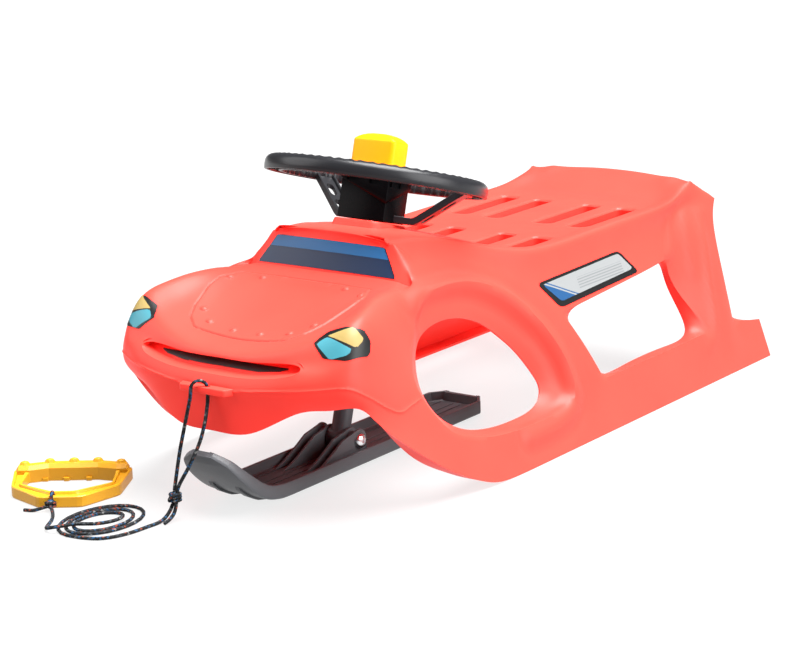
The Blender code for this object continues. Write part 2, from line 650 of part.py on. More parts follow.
def make_column(metal, black):
    """Bushes, column with its eye, retaining ring and pin."""
    frame = column_matrix()
    bore = COLUMN_RADIUS + GAP
    tube_end = COLLAR_TOP - TUBE_LENGTH
    for name, top in (("column_bush_upper", COLLAR_TOP - 0.001),
                      ("column_bush_lower", tube_end + BUSH_HEIGHT)):
        profile = ((bore, top - BUSH_HEIGHT), (bore + BUSH_WALL, top - BUSH_HEIGHT), (bore + BUSH_WALL, top),
                   (bore, top))
        add_object(name, lathe(profile, 24), plastic(name, (0.8, 0.8, 0.78)), frame)
    pivot = pivot_point()
    length = (Vector(WHEEL_CENTRE) - pivot).length
    shaft_top = HUB_BOTTOM - 0.0005
    column = add_object("steering_column", rod((0, 0, -length), (0, 0, shaft_top), COLUMN_RADIUS, 20), black,
                        frame)
    spigot = rod((0, 0, shaft_top - 0.004), (0, 0, HUB_BOTTOM + HUB_FLOOR - 0.0005), SPIGOT_RADIUS, 6)
    combine(column, "UNION", spigot, frame)
    eye = rod(pivot - Vector((EYE_HALF_WIDTH, 0, 0)), pivot + Vector((EYE_HALF_WIDTH, 0, 0)), 0.0135, 20)
    combine(column, "UNION", eye)
    reach = Vector((0.02, 0, 0))
    combine(column, "DIFFERENCE", rod(pivot - reach, pivot + reach, BOLT_RADIUS + GAP, 20))
    combine(column, "DIFFERENCE", rod((0, 0, HUB_BOTTOM - 0.012), (0, 0, 0), BOLT_RADIUS + GAP, 20), frame)
    low = tube_end - 0.0085
    ring = lathe(((bore, low), (0.0185, low), (0.0185, low + 0.0075), (bore, low + 0.0075)), 20)
    ring = add_object("retaining_ring", ring, black, frame)
    middle = low + 0.00375
    for obj in (ring, column):
        combine(obj, "DIFFERENCE", rod((-0.03, 0, middle), (0.03, 0, middle), 0.0023, 16), frame)
    add_object("retaining_pin", rod((-0.0190, 0, middle), (0.0190, 0, middle), 0.0020, 16), metal, frame)


def make_wheel(black, metal):
    """Rim with an open ribbed underside and finger waves, on two arms from a boxed hub."""
    frame = column_matrix()
    rings = []
    cells = ((0.0, False), (0.5, False), (0.74, True), (0.98, True))
    for cell in range(RIM_CELLS):
        for share, rib in cells:
            turn = 2 * math.pi * (cell + share) / RIM_CELLS
            wave = 0.0014 * math.cos(2 * math.pi * share)
            ceiling = -0.0080 if rib else 0.0038
            profile = (
                (0.0108, -0.0095), (0.0112, 0.0010), (0.0050, 0.0090 + wave * 0.4),
                (-0.0045 - wave, 0.0088 + wave * 0.6),
                (-0.0108 - wave, 0.0005), (-0.0104 - wave, -0.0095), (-0.0070, -0.0095), (-0.0073, ceiling),
                (0.0064, ceiling), (0.0078, -0.0095),
            )
            ring = []
            for out, height in profile:
                r = RIM_RADIUS + out
                ring.append((r * math.cos(turn), r * math.sin(turn), height))
            rings.append(ring)
    wheel = add_object("steering_wheel", stack(rings, bottom=False), black, frame)
    cut = HUB_CUT
    x, y = HUB_HALF_X, HUB_HALF_Y
    octagon = [(x, y - cut), (x - cut, y), (cut - x, y), (-x, y - cut), (-x, cut - y), (cut - x, -y),
               (x - cut, -y), (x, cut - y)]
    hub = stack([[(a * 0.97, b * 0.97, HUB_BOTTOM) for a, b in octagon],
                 [(a, b, HUB_BOTTOM + 0.002) for a, b in octagon],
                 [(a, b, HUB_TOP) for a, b in octagon]])
    combine(wheel, "UNION", hub, frame)
    bulge = stack([[(a * k, -HUB_HALF_Y + 0.004 + b * m, h)
                    for a, b in rounded_rectangle(0.024, 0.010, 0.0095, 4)]
                   for k, m, h in ((0.35, 0.35, -0.040), (0.75, 0.8, -0.029), (1.0, 1.0, -0.018),
                                   (1.0, 1.0, -0.004))])
    combine(wheel, "UNION", bulge, frame)
    turned = {sign: frame @ Matrix.Rotation(sign * ARM_TURN, 4, "Z") for sign in (1, -1)}
    for sign in (1, -1):
        combine(wheel, "UNION", wheel_arm(sign), turned[sign])
    holes = bmesh.new()
    for sign in (1, -1):
        spin = Matrix.Rotation(sign * ARM_TURN, 3, "Z")
        for centre, half in ((0.0725, 0.0080), (0.0960, 0.0090)):
            outline = [spin @ Vector((sign * centre + a, b, -0.060))
                       for a, b in rounded_rectangle(half, 0.0050, 0.0048, 2)]
            add_prism(holes, outline, (0, 0, 0.058))
    inner = rounded_rectangle(HUB_HALF_X - HUB_WALL, HUB_HALF_Y - HUB_WALL, 0.0195)
    add_prism(holes, [(a, b, HUB_BOTTOM + HUB_FLOOR) for a, b in inner], (0, 0, 0.05))
    combine(wheel, "DIFFERENCE", holes, frame)
    combine(wheel, "DIFFERENCE", rod((0, 0, HUB_BOTTOM - 0.005), (0, 0, 0), SPIGOT_RADIUS + 0.0005, 6), frame)
    guides = bmesh.new()
    low = HUB_BOTTOM + HUB_FLOOR - 0.001
    high = HUB_TOP - 0.0005 - low
    for sign in (1, -1):
        near, far = sign * (HORN_HALF_X + GAP), sign * (HUB_HALF_X - HUB_WALL + 0.001)
        add_prism(guides, [(near, -0.005, low), (far, -0.005, low), (far, 0.005, low), (near, 0.005, low)],
                  (0, 0, high))
        near, far = sign * (HORN_HALF_Y + GAP), sign * (HUB_HALF_Y - HUB_WALL + 0.001)
        add_prism(guides, [(-0.0015, near, low), (0.0015, near, low), (0.0015, far, low),
                           (-0.0015, far, low)], (0, 0, high))
    combine(wheel, "UNION", guides, frame)
    dimples = bmesh.new()
    for k in (-1.5, -0.5, 0.5, 1.5):
        x, y = k * 0.0100, -HUB_HALF_Y - 0.009
        outline = [(x + a, y, -0.0105 + b)
                   for a, b in ((0.0035, 0.0028), (-0.0035, 0.0028), (-0.0035, -0.0028), (0.0035, -0.0028))]
        add_prism(dimples, outline, (0, 0.0048, 0))
    combine(wheel, "DIFFERENCE", dimples, frame)
    floor = HUB_BOTTOM + HUB_FLOOR
    washer = ((BOLT_RADIUS + GAP, floor + GAP), (0.011, floor + GAP), (0.011, floor + 0.0018),
              (BOLT_RADIUS + GAP, floor + 0.0018))
    add_object("wheel_washer", lathe(washer, 16), metal, frame)
    bolt = add_object("wheel_bolt", rod((0, 0, HUB_BOTTOM - 0.010), (0, 0, floor + 0.004), BOLT_RADIUS, 20),
                      metal, frame)
    combine(bolt, "UNION", rod((0, 0, floor + 0.0021), (0, 0, floor + 0.0071), 0.0072, 6), frame)


def wheel_arm(sign):
    """One arm as a channel open towards the driver, along a bent line from the hub to the rim."""
    line = ((0.026, -0.0542), (0.057, -0.0542), (0.067, -0.0490), (0.108, -0.0165), (0.1188, -0.0085))
    line = [Vector((a, 0, s)) for a, s in line]
    w = ARM_HALF_WIDTH
    section = ((-w, 0), (w, 0), (w, 0.0085), (w - 0.003, 0.0085), (w - 0.003, 0.0045), (0.003 - w, 0.0045),
               (0.003 - w, 0.0085), (-w, 0.0085))
    rings = []
    for i, place in enumerate(line):
        along = (line[min(i + 1, len(line) - 1)] - line[max(i - 1, 0)]).normalized()
        up = Vector((-along.z, 0, along.x))
        rings.append([(sign * (place + up * h).x, y, (place + up * h).z) for y, h in section])
    return stack(rings)


def make_horn(yellow, rubber):
    frame = column_matrix()
    outer = ((1.0, HORN_BOTTOM), (1.0, 0.0450), (0.97, 0.0475), (0.86, 0.0508), (0.45, 0.0526),
             (0.10, HORN_TOP))
    rings = []
    for share, height in outer:
        rings.append([(a * share, b * share, height)
                      for a, b in rounded_rectangle(HORN_HALF_X, HORN_HALF_Y, HORN_CUT, 1)])
    horn = add_object("horn_button", stack(rings), yellow, frame)
    inner = rounded_rectangle(HORN_HALF_X - HORN_WALL, HORN_HALF_Y - HORN_WALL, HORN_CUT - 0.0015, 1)
    hollow = stack([[(a, b, HORN_BOTTOM - 0.01) for a, b in inner],
                    [(a, b, HORN_CEILING - 0.0055) for a, b in inner],
                    [(a * 0.8, b * 0.8, HORN_CEILING) for a, b in inner]])
    combine(horn, "DIFFERENCE", hollow, frame)
    base = HUB_BOTTOM + HUB_FLOOR + GAP
    profile = [(0.0118, base), (0.0145, base), (0.0145, base + 0.004)]
    for fold in range(4):
        height = base + 0.006 + fold * 0.0163
        profile += [(0.0145, height + 0.0025), (0.0145, height + 0.0080), (0.0120, height + 0.0125)]
    crown = HORN_CEILING - HORN_TRAVEL - 0.001
    profile += [(0.0115, crown - 0.0035), (0.0080, crown - 0.0008), (0.0010, crown)]
    profile += [(0.0010, crown - 0.0024), (0.0078, crown - 0.0030), (0.0100, crown - 0.0060)]
    profile += [(0.0100, base + 0.012)]
    add_object("horn_bulb", lathe(profile, 12), rubber, frame)


def make_ski(black, metal):
    rings = []
    places = [Vector((0, y, z)) for y, z, *_ in SKI]
    for i, (y, z, w, edge, floor) in enumerate(SKI):
        along = (places[min(i + 1, len(SKI) - 1)] - places[max(i - 1, 0)]).normalized()
        up = Vector((1, 0, 0)).cross(along)
        section = [(w - 0.002, 0), (w, 0.002), (w, edge - 0.001), (w - 0.001, edge), (w - 0.004, edge),
                   (w - 0.006, floor)]
        section = section + [(-a, h) for a, h in reversed(section)]
        rings.append([places[i] + Vector((a, 0, 0)) + up * h for a, h in section])
    ski = add_object("ski", stack(rings), black)
    keels = bmesh.new()
    grooves = bmesh.new()
    for sign in (-1, 1):
        profile = ((-0.383, 0.0045), (-0.372, 0.0003), (0.026, 0.0003), (0.032, 0.0045))
        add_prism(keels, [(sign * 0.020 - 0.003, y, z) for y, z in profile], (0.006, 0, 0))
        for x in (0.006, 0.026):
            strip = prism([(sign * x - 0.0012, -0.372, 0.0075), (sign * x + 0.0012, -0.372, 0.0075),
                           (sign * x + 0.0012, 0.030, 0.0075), (sign * x - 0.0012, 0.030, 0.0075)],
                           (0, 0, 0.01))
            merge_into(grooves, strip)
    combine(ski, "UNION", keels)
    combine(ski, "DIFFERENCE", grooves)
    pivot = pivot_point()
    arc = []
    for k in range(9):
        t = math.radians(115 - 130 * k / 8)
        arc.append((pivot.y + 0.0145 * math.cos(t), pivot.z + 0.0145 * math.sin(t)))
    outline = list(EAR_FRONT) + arc + list(EAR_REAR)
    ears = bmesh.new()
    for sign in (-1, 1):
        for near, far in EAR_PLATES:
            add_prism(ears, [(sign * near, y, z) for y, z in outline], (sign * (far - near), 0, 0))
    combine(ski, "UNION", ears)
    bosses = bmesh.new()
    holes = bmesh.new()
    for sign in (-1, 1):
        inner = pivot + Vector((sign * (EAR_PLATES[0][1] - 0.001), 0, 0))
        outer = pivot + Vector((sign * (EAR_PLATES[1][0] + 0.001), 0, 0))
        add_rod(bosses, inner, outer, 0.0105, 24)
        add_rod(holes, pivot + Vector((sign * 0.010, 0, 0)), pivot + Vector((sign * 0.036, 0, 0)),
                BOLT_RADIUS + GAP, 20)
    combine(ski, "UNION", bosses)
    combine(ski, "DIFFERENCE", holes)
    edge = EAR_PLATES[1][1] + GAP
    bolt = add_object("pivot_bolt", rod(pivot - Vector((0.0385, 0, 0)), pivot + Vector((edge + 0.002, 0, 0)),
                                        BOLT_RADIUS, 20), metal)
    rings = []
    for radius, out in ((0.0086, 0.0), (0.0090, 0.0004), (0.0090, 0.0012), (0.0082, 0.0030), (0.0062, 0.0046),
                        (0.0032, 0.0056)):
        turns = [2 * math.pi * k / 16 for k in range(16)]
        rings.append([pivot + Vector((edge + out, radius * math.cos(t),
                                      radius * math.sin(t))) for t in turns])
    combine(bolt, "UNION", stack(rings))
    nut = rod(pivot - Vector((edge + 0.006, 0, 0)), pivot - Vector((edge, 0, 0)), 0.0075, 6)
    nut = add_object("pivot_nut", nut, metal)
    combine(nut, "DIFFERENCE", rod(pivot - Vector((0.045, 0, 0)), pivot - Vector((0.02, 0, 0)),
                                   BOLT_RADIUS + GAP, 20))
    for name, sign in (("pivot_washer_left", 1), ("pivot_washer_right", -1)):
        near = EYE_HALF_WIDTH + GAP
        far = EAR_PLATES[0][0] - GAP
        washer = ((BOLT_RADIUS + GAP, near), (0.0100, near), (0.0100, far), (BOLT_RADIUS + GAP, far))
        face = Matrix.Translation(pivot) @ Matrix.Rotation(math.radians(90 * sign), 4, "Y")
        add_object(name, lathe(washer, 16), metal, face)


def merge_into(target, source):
    """Copies one bmesh into another and frees the copy."""
    mesh = bpy.data.meshes.new("merge")
    source.to_mesh(mesh)
    source.free()
    target.from_mesh(mesh)
    bpy.data.meshes.remove(mesh)


def ellipsoid(centre, radii, across=8, tall=6):
    bm = bmesh.new()
    bmesh.ops.create_uvsphere(bm, u_segments=across, v_segments=tall, radius=1.0)
    bmesh.ops.transform(bm, matrix=Matrix.Translation(centre) @ Matrix.Diagonal((*radii, 1.0)),
                        verts=bm.verts)
    return bm


def ring_tube(centre, x_axis, y_axis, half_x, half_y, radius, around=12, sides=6, straight=0.0):
    """A closed tube along an ellipse whose halves are moved apart along its X by straight stretches."""
    x_axis = Vector(x_axis).normalized()
    y_axis = Vector(y_axis).normalized()
    up = x_axis.cross(y_axis)
    rings = []
    for i in range(around):
        t = 2 * math.pi * (i + (0.5 if straight else 0.0)) / around
        place = Vector(centre) + x_axis * half_x * math.cos(t) + y_axis * half_y * math.sin(t)
        place += x_axis * math.copysign(straight, math.cos(t))
        out = (x_axis * math.cos(t) / half_x + y_axis * math.sin(t) / half_y).normalized()
        ring = []
        for k in range(sides):
            s = 2 * math.pi * (k + 0.5) / sides
            ring.append(place + radius * (out * math.cos(s) + up * math.sin(s)))
        rings.append(ring)
    return stack(rings, bottom=False)


def tube(line, radius, sides=6):
    """A closed round tube along a line of points."""
    line = [Vector(p) for p in line]
    rings = []
    across = None
    for i, place in enumerate(line):
        along = (line[min(i + 1, len(line) - 1)] - line[max(i - 1, 0)]).normalized()
        if across is None:
            across = along.orthogonal()
        across = (across - along * across.dot(along)).normalized()
        other = along.cross(across)
        turns = [2 * math.pi * k / sides for k in range(sides)]
        rings.append([place + radius * (across * math.cos(t) + other * math.sin(t)) for t in turns])
    return stack(rings)


def handle_point(a, b, z):
    """A point of the handle's own frame, a along the grip and b towards the rope."""
    ca, sa = math.cos(HANDLE_TURN), math.sin(HANDLE_TURN)
    x, y, _ = HANDLE_CENTRE
    return Vector((x + a * ca + b * sa, y + a * sa - b * ca, z))


def coil_line():
    """Three shrinking loops on the snow, 24 points to a loop."""
    line = []
    count = 72
    for i in range(0, count - 1):
        share = i / count
        turn = 2 * math.pi * 3 * share
        x = LOOP_CENTRES[0][0] + (LOOP_CENTRES[1][0] - LOOP_CENTRES[0][0]) * share
        y = LOOP_CENTRES[0][1] + (LOOP_CENTRES[1][1] - LOOP_CENTRES[0][1]) * share
        w = LOOP_WIDTHS[0] + (LOOP_WIDTHS[1] - LOOP_WIDTHS[0]) * share
        d = LOOP_DEPTHS[0] + (LOOP_DEPTHS[1] - LOOP_DEPTHS[0]) * share
        rise = min(1.0, max(0.0, (i - 58) / 12))
        z = ROPE_RADIUS + 0.0001 + 0.0054 * rise * rise * (3 - 2 * rise)
        line.append(Vector((x - w * math.sin(turn), y - d * math.cos(turn), z)))
    return line


def neck(end, inside, length):
    """A short stub of rope on a knot, one gap beyond a strand's end and in line with it."""
    along = (Vector(end) - Vector(inside)).normalized()
    return rod(Vector(end) + along * GAP, Vector(end) + along * length, ROPE_RADIUS, 6)


def least_gap(line, radius):
    """Smallest clear distance between stretches of a cord more than 20 mm apart along it."""
    travelled = [0.0]
    for a, b in zip(line, line[1:]):
        travelled.append(travelled[-1] + (b - a).length)
    least = 1.0
    for i, a in enumerate(line):
        for j in range(i + 1, len(line) - 1):
            if travelled[j] - travelled[i] < 0.02:
                continue
            b, c = line[j], line[j + 1]
            t = max(0.0, min(1.0, (a - b).dot(c - b) / max((c - b).length_squared, 1e-12)))
            least = min(least, (a - b.lerp(c, t)).length - 2 * radius)
    return least


def make_ropes(cord, amber):
    arch = []
    start = Vector(STRAND_UP[-1])
    end = Vector((ROPE_HOLE_X, ROPE_HOLE_Y, LEDGE_TOP - 0.0025))
    middle = (start + end) / 2
    middle.z = end.z
    half = Vector((end.x - middle.x, end.y - middle.y, 0))
    for k in range(8):
        t = math.radians(180 - 180 * k / 7)
        arch.append(middle + half * math.cos(t) + Vector((0, 0, half.length * math.sin(t))))
    line = spline(STRAND_UP, 3)[:-1] + arch + spline(STRAND_DOWN, 3)
    rope("rope_bridle", line, cord, 1)
    centre = Vector(KNOT_CENTRE)
    knot = add_object("rope_knot", ellipsoid(centre, (0.0060, 0.0048, 0.0066)), cord)
    wraps = bmesh.new()
    for lift, tilt in ((-0.0026, 0.10), (0.0026, 0.10)):
        merge_into(wraps, ring_tube(centre + Vector((0, 0, lift)), (1, 0, tilt), (0, 1, 0), 0.0062, 0.0050,
                                    0.0022, 10))
    combine(knot, "UNION", wraps)
    lead = spline(LEAD, 3)
    for end, inside in ((line[0], line[1]), (line[-1], line[-2]), (lead[0], lead[1])):
        combine(knot, "UNION", neck(end, inside, 0.006))
    tail = spline(((-0.0218, -0.5065, 0.0240), (-0.0214, -0.5085, 0.0180), (-0.0212, -0.5130, 0.0100),
                   (-0.0212, -0.5210, 0.0050), (-0.0216, -0.5300, 0.0025)), 3)
    combine(knot, "UNION", tube(tail, ROPE_RADIUS))
    coil = coil_line()
    out = spline([coil[-1]] + [Vector(p) for p in COIL_OUT], 3)[1:]
    link = spline([lead[-2], lead[-1], coil[0], coil[1]], 2)[3:4]
    line = lead + link + coil + out
    print(f"tow_rope least self-gap {1000 * least_gap(line, ROPE_RADIUS):.2f} mm over {len(line)} points")
    rope("tow_rope", line, cord, 1)
    x = HANDLE_ROPE_X
    towards = (handle_point(0, 1, 0) - handle_point(0, 0, 0)).normalized()
    ring = ring_tube(handle_point(x, 0.0941, 0.0123), towards, (0, 0, 1), 0.0057, 0.0057, ROPE_RADIUS, 12,
                     straight=0.0016)
    loop = add_object("handle_knot", ring, cord)
    ball = handle_point(x, 0.1077, 0.0080)
    combine(loop, "UNION", ellipsoid(ball, (0.0052, 0.0052, 0.0062)))
    wrap = ring_tube(ball + Vector((0, 0, 0.0004)), handle_point(1, 0, 0) - handle_point(0, 0, 0),
                     towards + Vector((0, 0, 0.3)), 0.0052, 0.0048, 0.0021, 12)
    combine(loop, "UNION", wrap)
    combine(loop, "UNION", neck(out[-1], out[-2], 0.006))
    tail = [ball + Vector((0, 0, -0.001)), handle_point(x - 0.009, 0.1110, 0.0050),
            handle_point(x - 0.020, 0.1120, 0.0026), handle_point(x - 0.032, 0.1090, 0.0024)]
    combine(loop, "UNION", tube(spline(tail, 3), ROPE_RADIUS))
    make_handle(amber)


def handle_outline(corners, radius):
    """Outline of the handle's frame: the grip's side straight, the other corners rounded."""
    points = []
    for i, corner in enumerate(corners):
        here = Vector(corner)
        before = here + (Vector(corners[i - 1]) - here).normalized() * radius
        after = here + (Vector(corners[(i + 1) % len(corners)]) - here).normalized() * radius
        for t in (0.0, 0.5, 1.0):
            p = before.lerp(here, t).lerp(here.lerp(after, t), t)
            points.append((p.x, p.y))
    return points


def make_handle(amber):
    """Tow handle: a low frame with a groove between two rims, and a grip with domes and finger notches."""
    outer = ((0.0730, -0.012), (0.0655, 0.055), (0.0260, 0.0985), (-0.0260, 0.0985), (-0.0655, 0.055),
             (-0.0730, -0.012), (-0.030, -0.0225), (0.030, -0.0225))
    inner = ((0.0535, 0.0), (0.0545, 0.046), (0.0135, 0.0762), (-0.0135, 0.0762), (-0.0545, 0.046),
             (-0.0535, 0.0), (-0.030, -0.0075), (0.030, -0.0075))
    outer = handle_outline(outer, 0.006)
    inner = handle_outline(inner, 0.004)
    top = HANDLE_HEIGHT
    profile = ((0.04, 0.0003), (0.0, 0.0020), (0.0, top - 0.0012), (0.05, top), (0.22, top),
               (0.28, top - 0.0030),
               (0.72, top - 0.0030), (0.78, top), (0.95, top), (1.0, top - 0.0012), (1.0, 0.0020),
               (0.96, 0.0003))
    rings = []
    for share, z in profile:
        rings.append([handle_point(*Vector(o).lerp(Vector(i), share), z) for o, i in zip(outer, inner)])
    handle = add_object("tow_handle", stack(rings, bottom=False), amber)
    rings = []
    half = ((0.0300, -0.0105, -0.0078, 1.0), (0.0535, -0.0035, 0.0, 1.0), (0.0660, 0.0, 0.0, 1.0),
            (0.0690, 0.0, 0.0, 0.8))
    for a, back, front, deep in [(-a, *rest) for a, *rest in reversed(half)] + list(half):
        section = ((back - 0.0126, 0.0006), (back - 0.0130, 0.0150), (back - 0.0100, GRIP_HEIGHT),
                   (front - 0.0035, GRIP_HEIGHT), (front + 0.0008, 0.0165), (front + 0.0008, 0.0006))
        rings.append([handle_point(a, -0.006 + (b + 0.006) * deep, z if z < 0.001 else z * deep)
                      for b, z in section])
    combine(handle, "UNION", stack(rings))
    domes = bmesh.new()
    for k, b in ((-2, -0.0095), (-1, -0.0180), (0, -0.0190), (1, -0.0180), (2, -0.0095)):
        shape = bmesh.new()
        bmesh.ops.create_uvsphere(shape, u_segments=8, v_segments=5, radius=1.0)
        place = Matrix.Translation(handle_point(k * DOME_SPACING, b, GRIP_HEIGHT - 0.0040))
        turn = Matrix.Rotation(HANDLE_TURN, 4, "Z")
        shape.transform(place @ turn @ Matrix.Diagonal((0.0082, 0.0072, 0.0088, 1.0)))
        merge_into(domes, shape)
    combine(handle, "UNION", domes)
    teeth = bmesh.new()
    for a in (-0.0345, -0.0085, 0.0190):
        outline = [handle_point(a + u, v, 0.0008)
                   for u, v in ((-0.0045, -0.0100), (0.0045, -0.0100), (0.0030, -0.0030), (-0.0030, -0.0030))]
        add_prism(teeth, outline, (0, 0, 0.0042))
    combine(handle, "UNION", teeth)
    hole = rod(handle_point(HANDLE_ROPE_X, 0.0850, 0.0068), handle_point(HANDLE_ROPE_X, 0.105, 0.0068),
               0.0043, 12)
    combine(handle, "DIFFERENCE", hole)
    hole = rod(handle_point(HANDLE_ROPE_X, 0.0868, 0.0045), handle_point(HANDLE_ROPE_X, 0.0868, 0.020),
               0.0045, 12)
    combine(handle, "DIFFERENCE", hole)


def main():
    clear_scene()
    red = plastic("shell_red", (0.85, 0.08, 0.06))
    black = plastic("dark_plastic", (0.035, 0.036, 0.04), 0.45)
    metal = plastic("bright_steel", (0.75, 0.76, 0.78), 0.25, 1.0)
    yellow = plastic("horn_yellow", (1.0, 0.72, 0.02), 0.35)
    rubber = plastic("horn_rubber", (0.10, 0.10, 0.11), 0.7)
    cord = plastic("cord", (0.08, 0.09, 0.11), 0.8)
    amber = plastic("handle_amber", (0.95, 0.48, 0.02), 0.4)
    _, skin = make_shell(red)
    make_decals(skin)
    make_column(metal, black)
    make_wheel(black, metal)
    make_horn(yellow, rubber)
    make_ski(black, metal)
    make_ropes(cord, amber)


main()
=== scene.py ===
"""Looks of a child's steerable snow sled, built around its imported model.

Metres, +Z up. The nose points to -Y, the driver's left is +X, and Z = 0 is the floor.
"""

import math

import bmesh
import bpy
from bpy.props import FloatProperty, FloatVectorProperty, IntProperty, PointerProperty
from mathutils import Matrix, Vector
from mathutils.bvhtree import BVHTree
from mathutils.kdtree import KDTree


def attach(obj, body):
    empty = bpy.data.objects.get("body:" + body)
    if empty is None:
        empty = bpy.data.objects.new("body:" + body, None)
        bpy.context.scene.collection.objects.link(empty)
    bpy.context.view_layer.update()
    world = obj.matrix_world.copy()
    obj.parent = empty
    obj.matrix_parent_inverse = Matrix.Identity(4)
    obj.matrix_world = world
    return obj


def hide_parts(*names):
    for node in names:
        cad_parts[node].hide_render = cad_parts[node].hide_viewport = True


bl_info = {
    "name": "Snow Sled",
    "version": (1, 0, 0),
    "blender": (4, 5, 0),
    "location": "View3D > Sidebar > Sled",
    "description": "Models a steerable snow sled with its wheel, ski, rope and films",
    "category": "Add Mesh",
}

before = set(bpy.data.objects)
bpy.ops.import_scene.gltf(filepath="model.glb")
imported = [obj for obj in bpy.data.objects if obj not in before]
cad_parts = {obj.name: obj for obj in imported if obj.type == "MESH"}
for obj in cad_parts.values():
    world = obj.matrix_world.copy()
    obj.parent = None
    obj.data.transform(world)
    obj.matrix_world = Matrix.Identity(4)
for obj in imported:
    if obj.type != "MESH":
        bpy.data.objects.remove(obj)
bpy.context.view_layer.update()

# Shell
HALF_LENGTH = 0.487
FLOOR_HALF_WIDTH = 0.225
SIDE_LEAN = 0.36
SEAT_HEIGHT = 0.231
ROOF_HEIGHT = 0.294
WALL = 0.0035
GAP = 0.0003
RAIL_HEIGHT = 0.062
SOLE_WIDTH = 0.028
FLANGE = 0.024
TAIL_HEIGHT = 0.051
SLOT_WIDTH = 0.025
SLOT_DEPTH = 0.013
SLOT_ROWS = ((0.055, 0.092), (0.245, 0.134))
SLOT_COLUMNS = (-0.094, -0.040, 0.040, 0.094)
LEDGE_HALF_WIDTH = 0.033
LEDGE_TOP = 0.156
LEDGE_THICKNESS = 0.008
LEDGE_FRONT = -0.4795
ROPE_HOLE_X = 0.004
ROPE_HOLE_Y = -0.4725
ROPE_HOLE_RADIUS = 0.0036

# Column; heights on it are measured from the wheel's centre along its axis
COLUMN_TILT = math.radians(16.5)
WHEEL_CENTRE = (0.0, -0.132, 0.342)
COLUMN_RADIUS = 0.012
COLLAR_TOP = -0.0565
COLLAR_HEIGHT = 0.020
COLLAR_HALF_WIDTH = 0.034
TUBE_WALL = 0.004
TUBE_LENGTH = 0.165
TUBE_BORE = 0.0156
PIVOT_HEIGHT = 0.030

# Wheel and horn
RIM_RADIUS = 0.128
RIM_CELLS = 30
HUB_HALF_X = 0.0372
HUB_HALF_Y = 0.0248
HUB_TOP = -0.002
HUB_BOTTOM = -0.055
HUB_FLOOR = 0.020
HUB_WALL = 0.0036
# Lower and upper end of the hub's swell at its four corners, rear left first
HUB_SWELL = ((-0.014, -0.009), (-0.007, -0.004), (-0.007, -0.004), (-0.033, -0.022))
ARM_HALF_WIDTH = 0.0135
ARM_TURN = math.radians(20)
HORN_HALF_X = 0.0322
HORN_HALF_Y = 0.0172
HORN_TOP = 0.053
HORN_BOTTOM = -0.008

# Ski
SKI_HALF_WIDTH = 0.042
SKI_BASE = 0.003
SKI_FLOOR = 0.006
BOLT_RADIUS = 0.004

# Rope and its handle
ROPE_RADIUS = 0.00225
KNOT_CENTRE = (-0.024, -0.506, 0.0275)
HANDLE_CENTRE = (-0.2264, -0.4648, 0.0)
HANDLE_TURN = math.radians(35)
HANDLE_ROPE_X = -0.010
LOOP_CENTRES = ((-0.0910, -0.5560), (-0.0920, -0.5620))
LOOP_WIDTHS = (0.0445, 0.018)
LOOP_DEPTHS = (0.062, 0.026)

# Photograph's camera
CAMERA_PLACE = (1.74928, -2.47307, 0.88604)
CAMERA_TURN = 0.635745
CAMERA_DROP = 0.246275
CAMERA_ROLL = -0.029545
CAMERA_LENS = 109.37

# Stage: the suns' directions and powers, their angle, and the brightness of the world and the floor
SUNS = {
    "top": ((0.22, 0.14, 0.96), 17.5),
    "side": ((0.95, 0.10, 0.30), 5.0),
    "front": ((-0.75, -0.45, 0.48), 2.2),
}
SUN_ANGLE = math.radians(50)
WORLD_STRENGTH = 0.12
FLOOR_HALF_SIZE = 12.0
FLOOR_COLOUR = (0.055, 0.055, 0.055)
FLOOR_GLOW = 0.78

# Lines that run along the top of the shell, as shares of its half width, centre line first
LINES = (0.0, 0.32, 0.64, 0.84, 1.0)

# Crosswise sections along the top: centre y and z, how far the edge is out of the side wall's plane,
# edge y and z, then how late the section leaves its centre height and its centre y on the way there
TOP = (
    (-0.437, 0.192, 0.0164, -0.395, 0.231, 2.2, 2.5),
    (-0.390, 0.202, 0.0130, -0.362, 0.239, 2.2, 2.0),
    (-0.320, 0.224, 0.0016, -0.315, 0.246, 2.2, 2.0),
    (-0.252, 0.246, -0.0136, -0.238, 0.240, 4.0, 2.0),
    (-0.236, 0.283, -0.0305, -0.224, 0.282, 2.0, 2.0),
    (-0.229, ROOF_HEIGHT, -0.0375, -0.228, 0.2860, 2.0, 2.0),
    (-0.175, ROOF_HEIGHT - 0.006, -0.0266, -0.165, 0.279, 3.0, 2.0),
    (-0.105, ROOF_HEIGHT - 0.021, -0.0187, -0.098, 0.262, 3.0, 2.0),
    (-0.035, SEAT_HEIGHT + 0.017, -0.0068, -0.035, SEAT_HEIGHT + 0.014, 3.0, 2.0),
    (0.035, SEAT_HEIGHT, 0.0013, 0.035, SEAT_HEIGHT + 0.006, 5.0, 2.0),
    (0.150, SEAT_HEIGHT, 0.0010, 0.150, SEAT_HEIGHT + 0.005, 5.0, 2.0),
    (0.250, SEAT_HEIGHT, 0.0010, 0.250, SEAT_HEIGHT + 0.005, 5.0, 2.0),
    (0.330, SEAT_HEIGHT, 0.0010, 0.340, SEAT_HEIGHT + 0.005, 5.0, 2.0),
    (0.378, SEAT_HEIGHT + 0.005, -0.0035, 0.388, SEAT_HEIGHT + 0.012, 4.0, 2.0),
    (0.427, SEAT_HEIGHT + 0.025, -0.0029, 0.424, SEAT_HEIGHT + 0.022, 2.0, 2.0),
)

# The rear of the backrest, below its top: centre y and z; its edge is the rear of the side wall
REAR = ((0.446, SEAT_HEIGHT + 0.019), (0.452, SEAT_HEIGHT - 0.036))

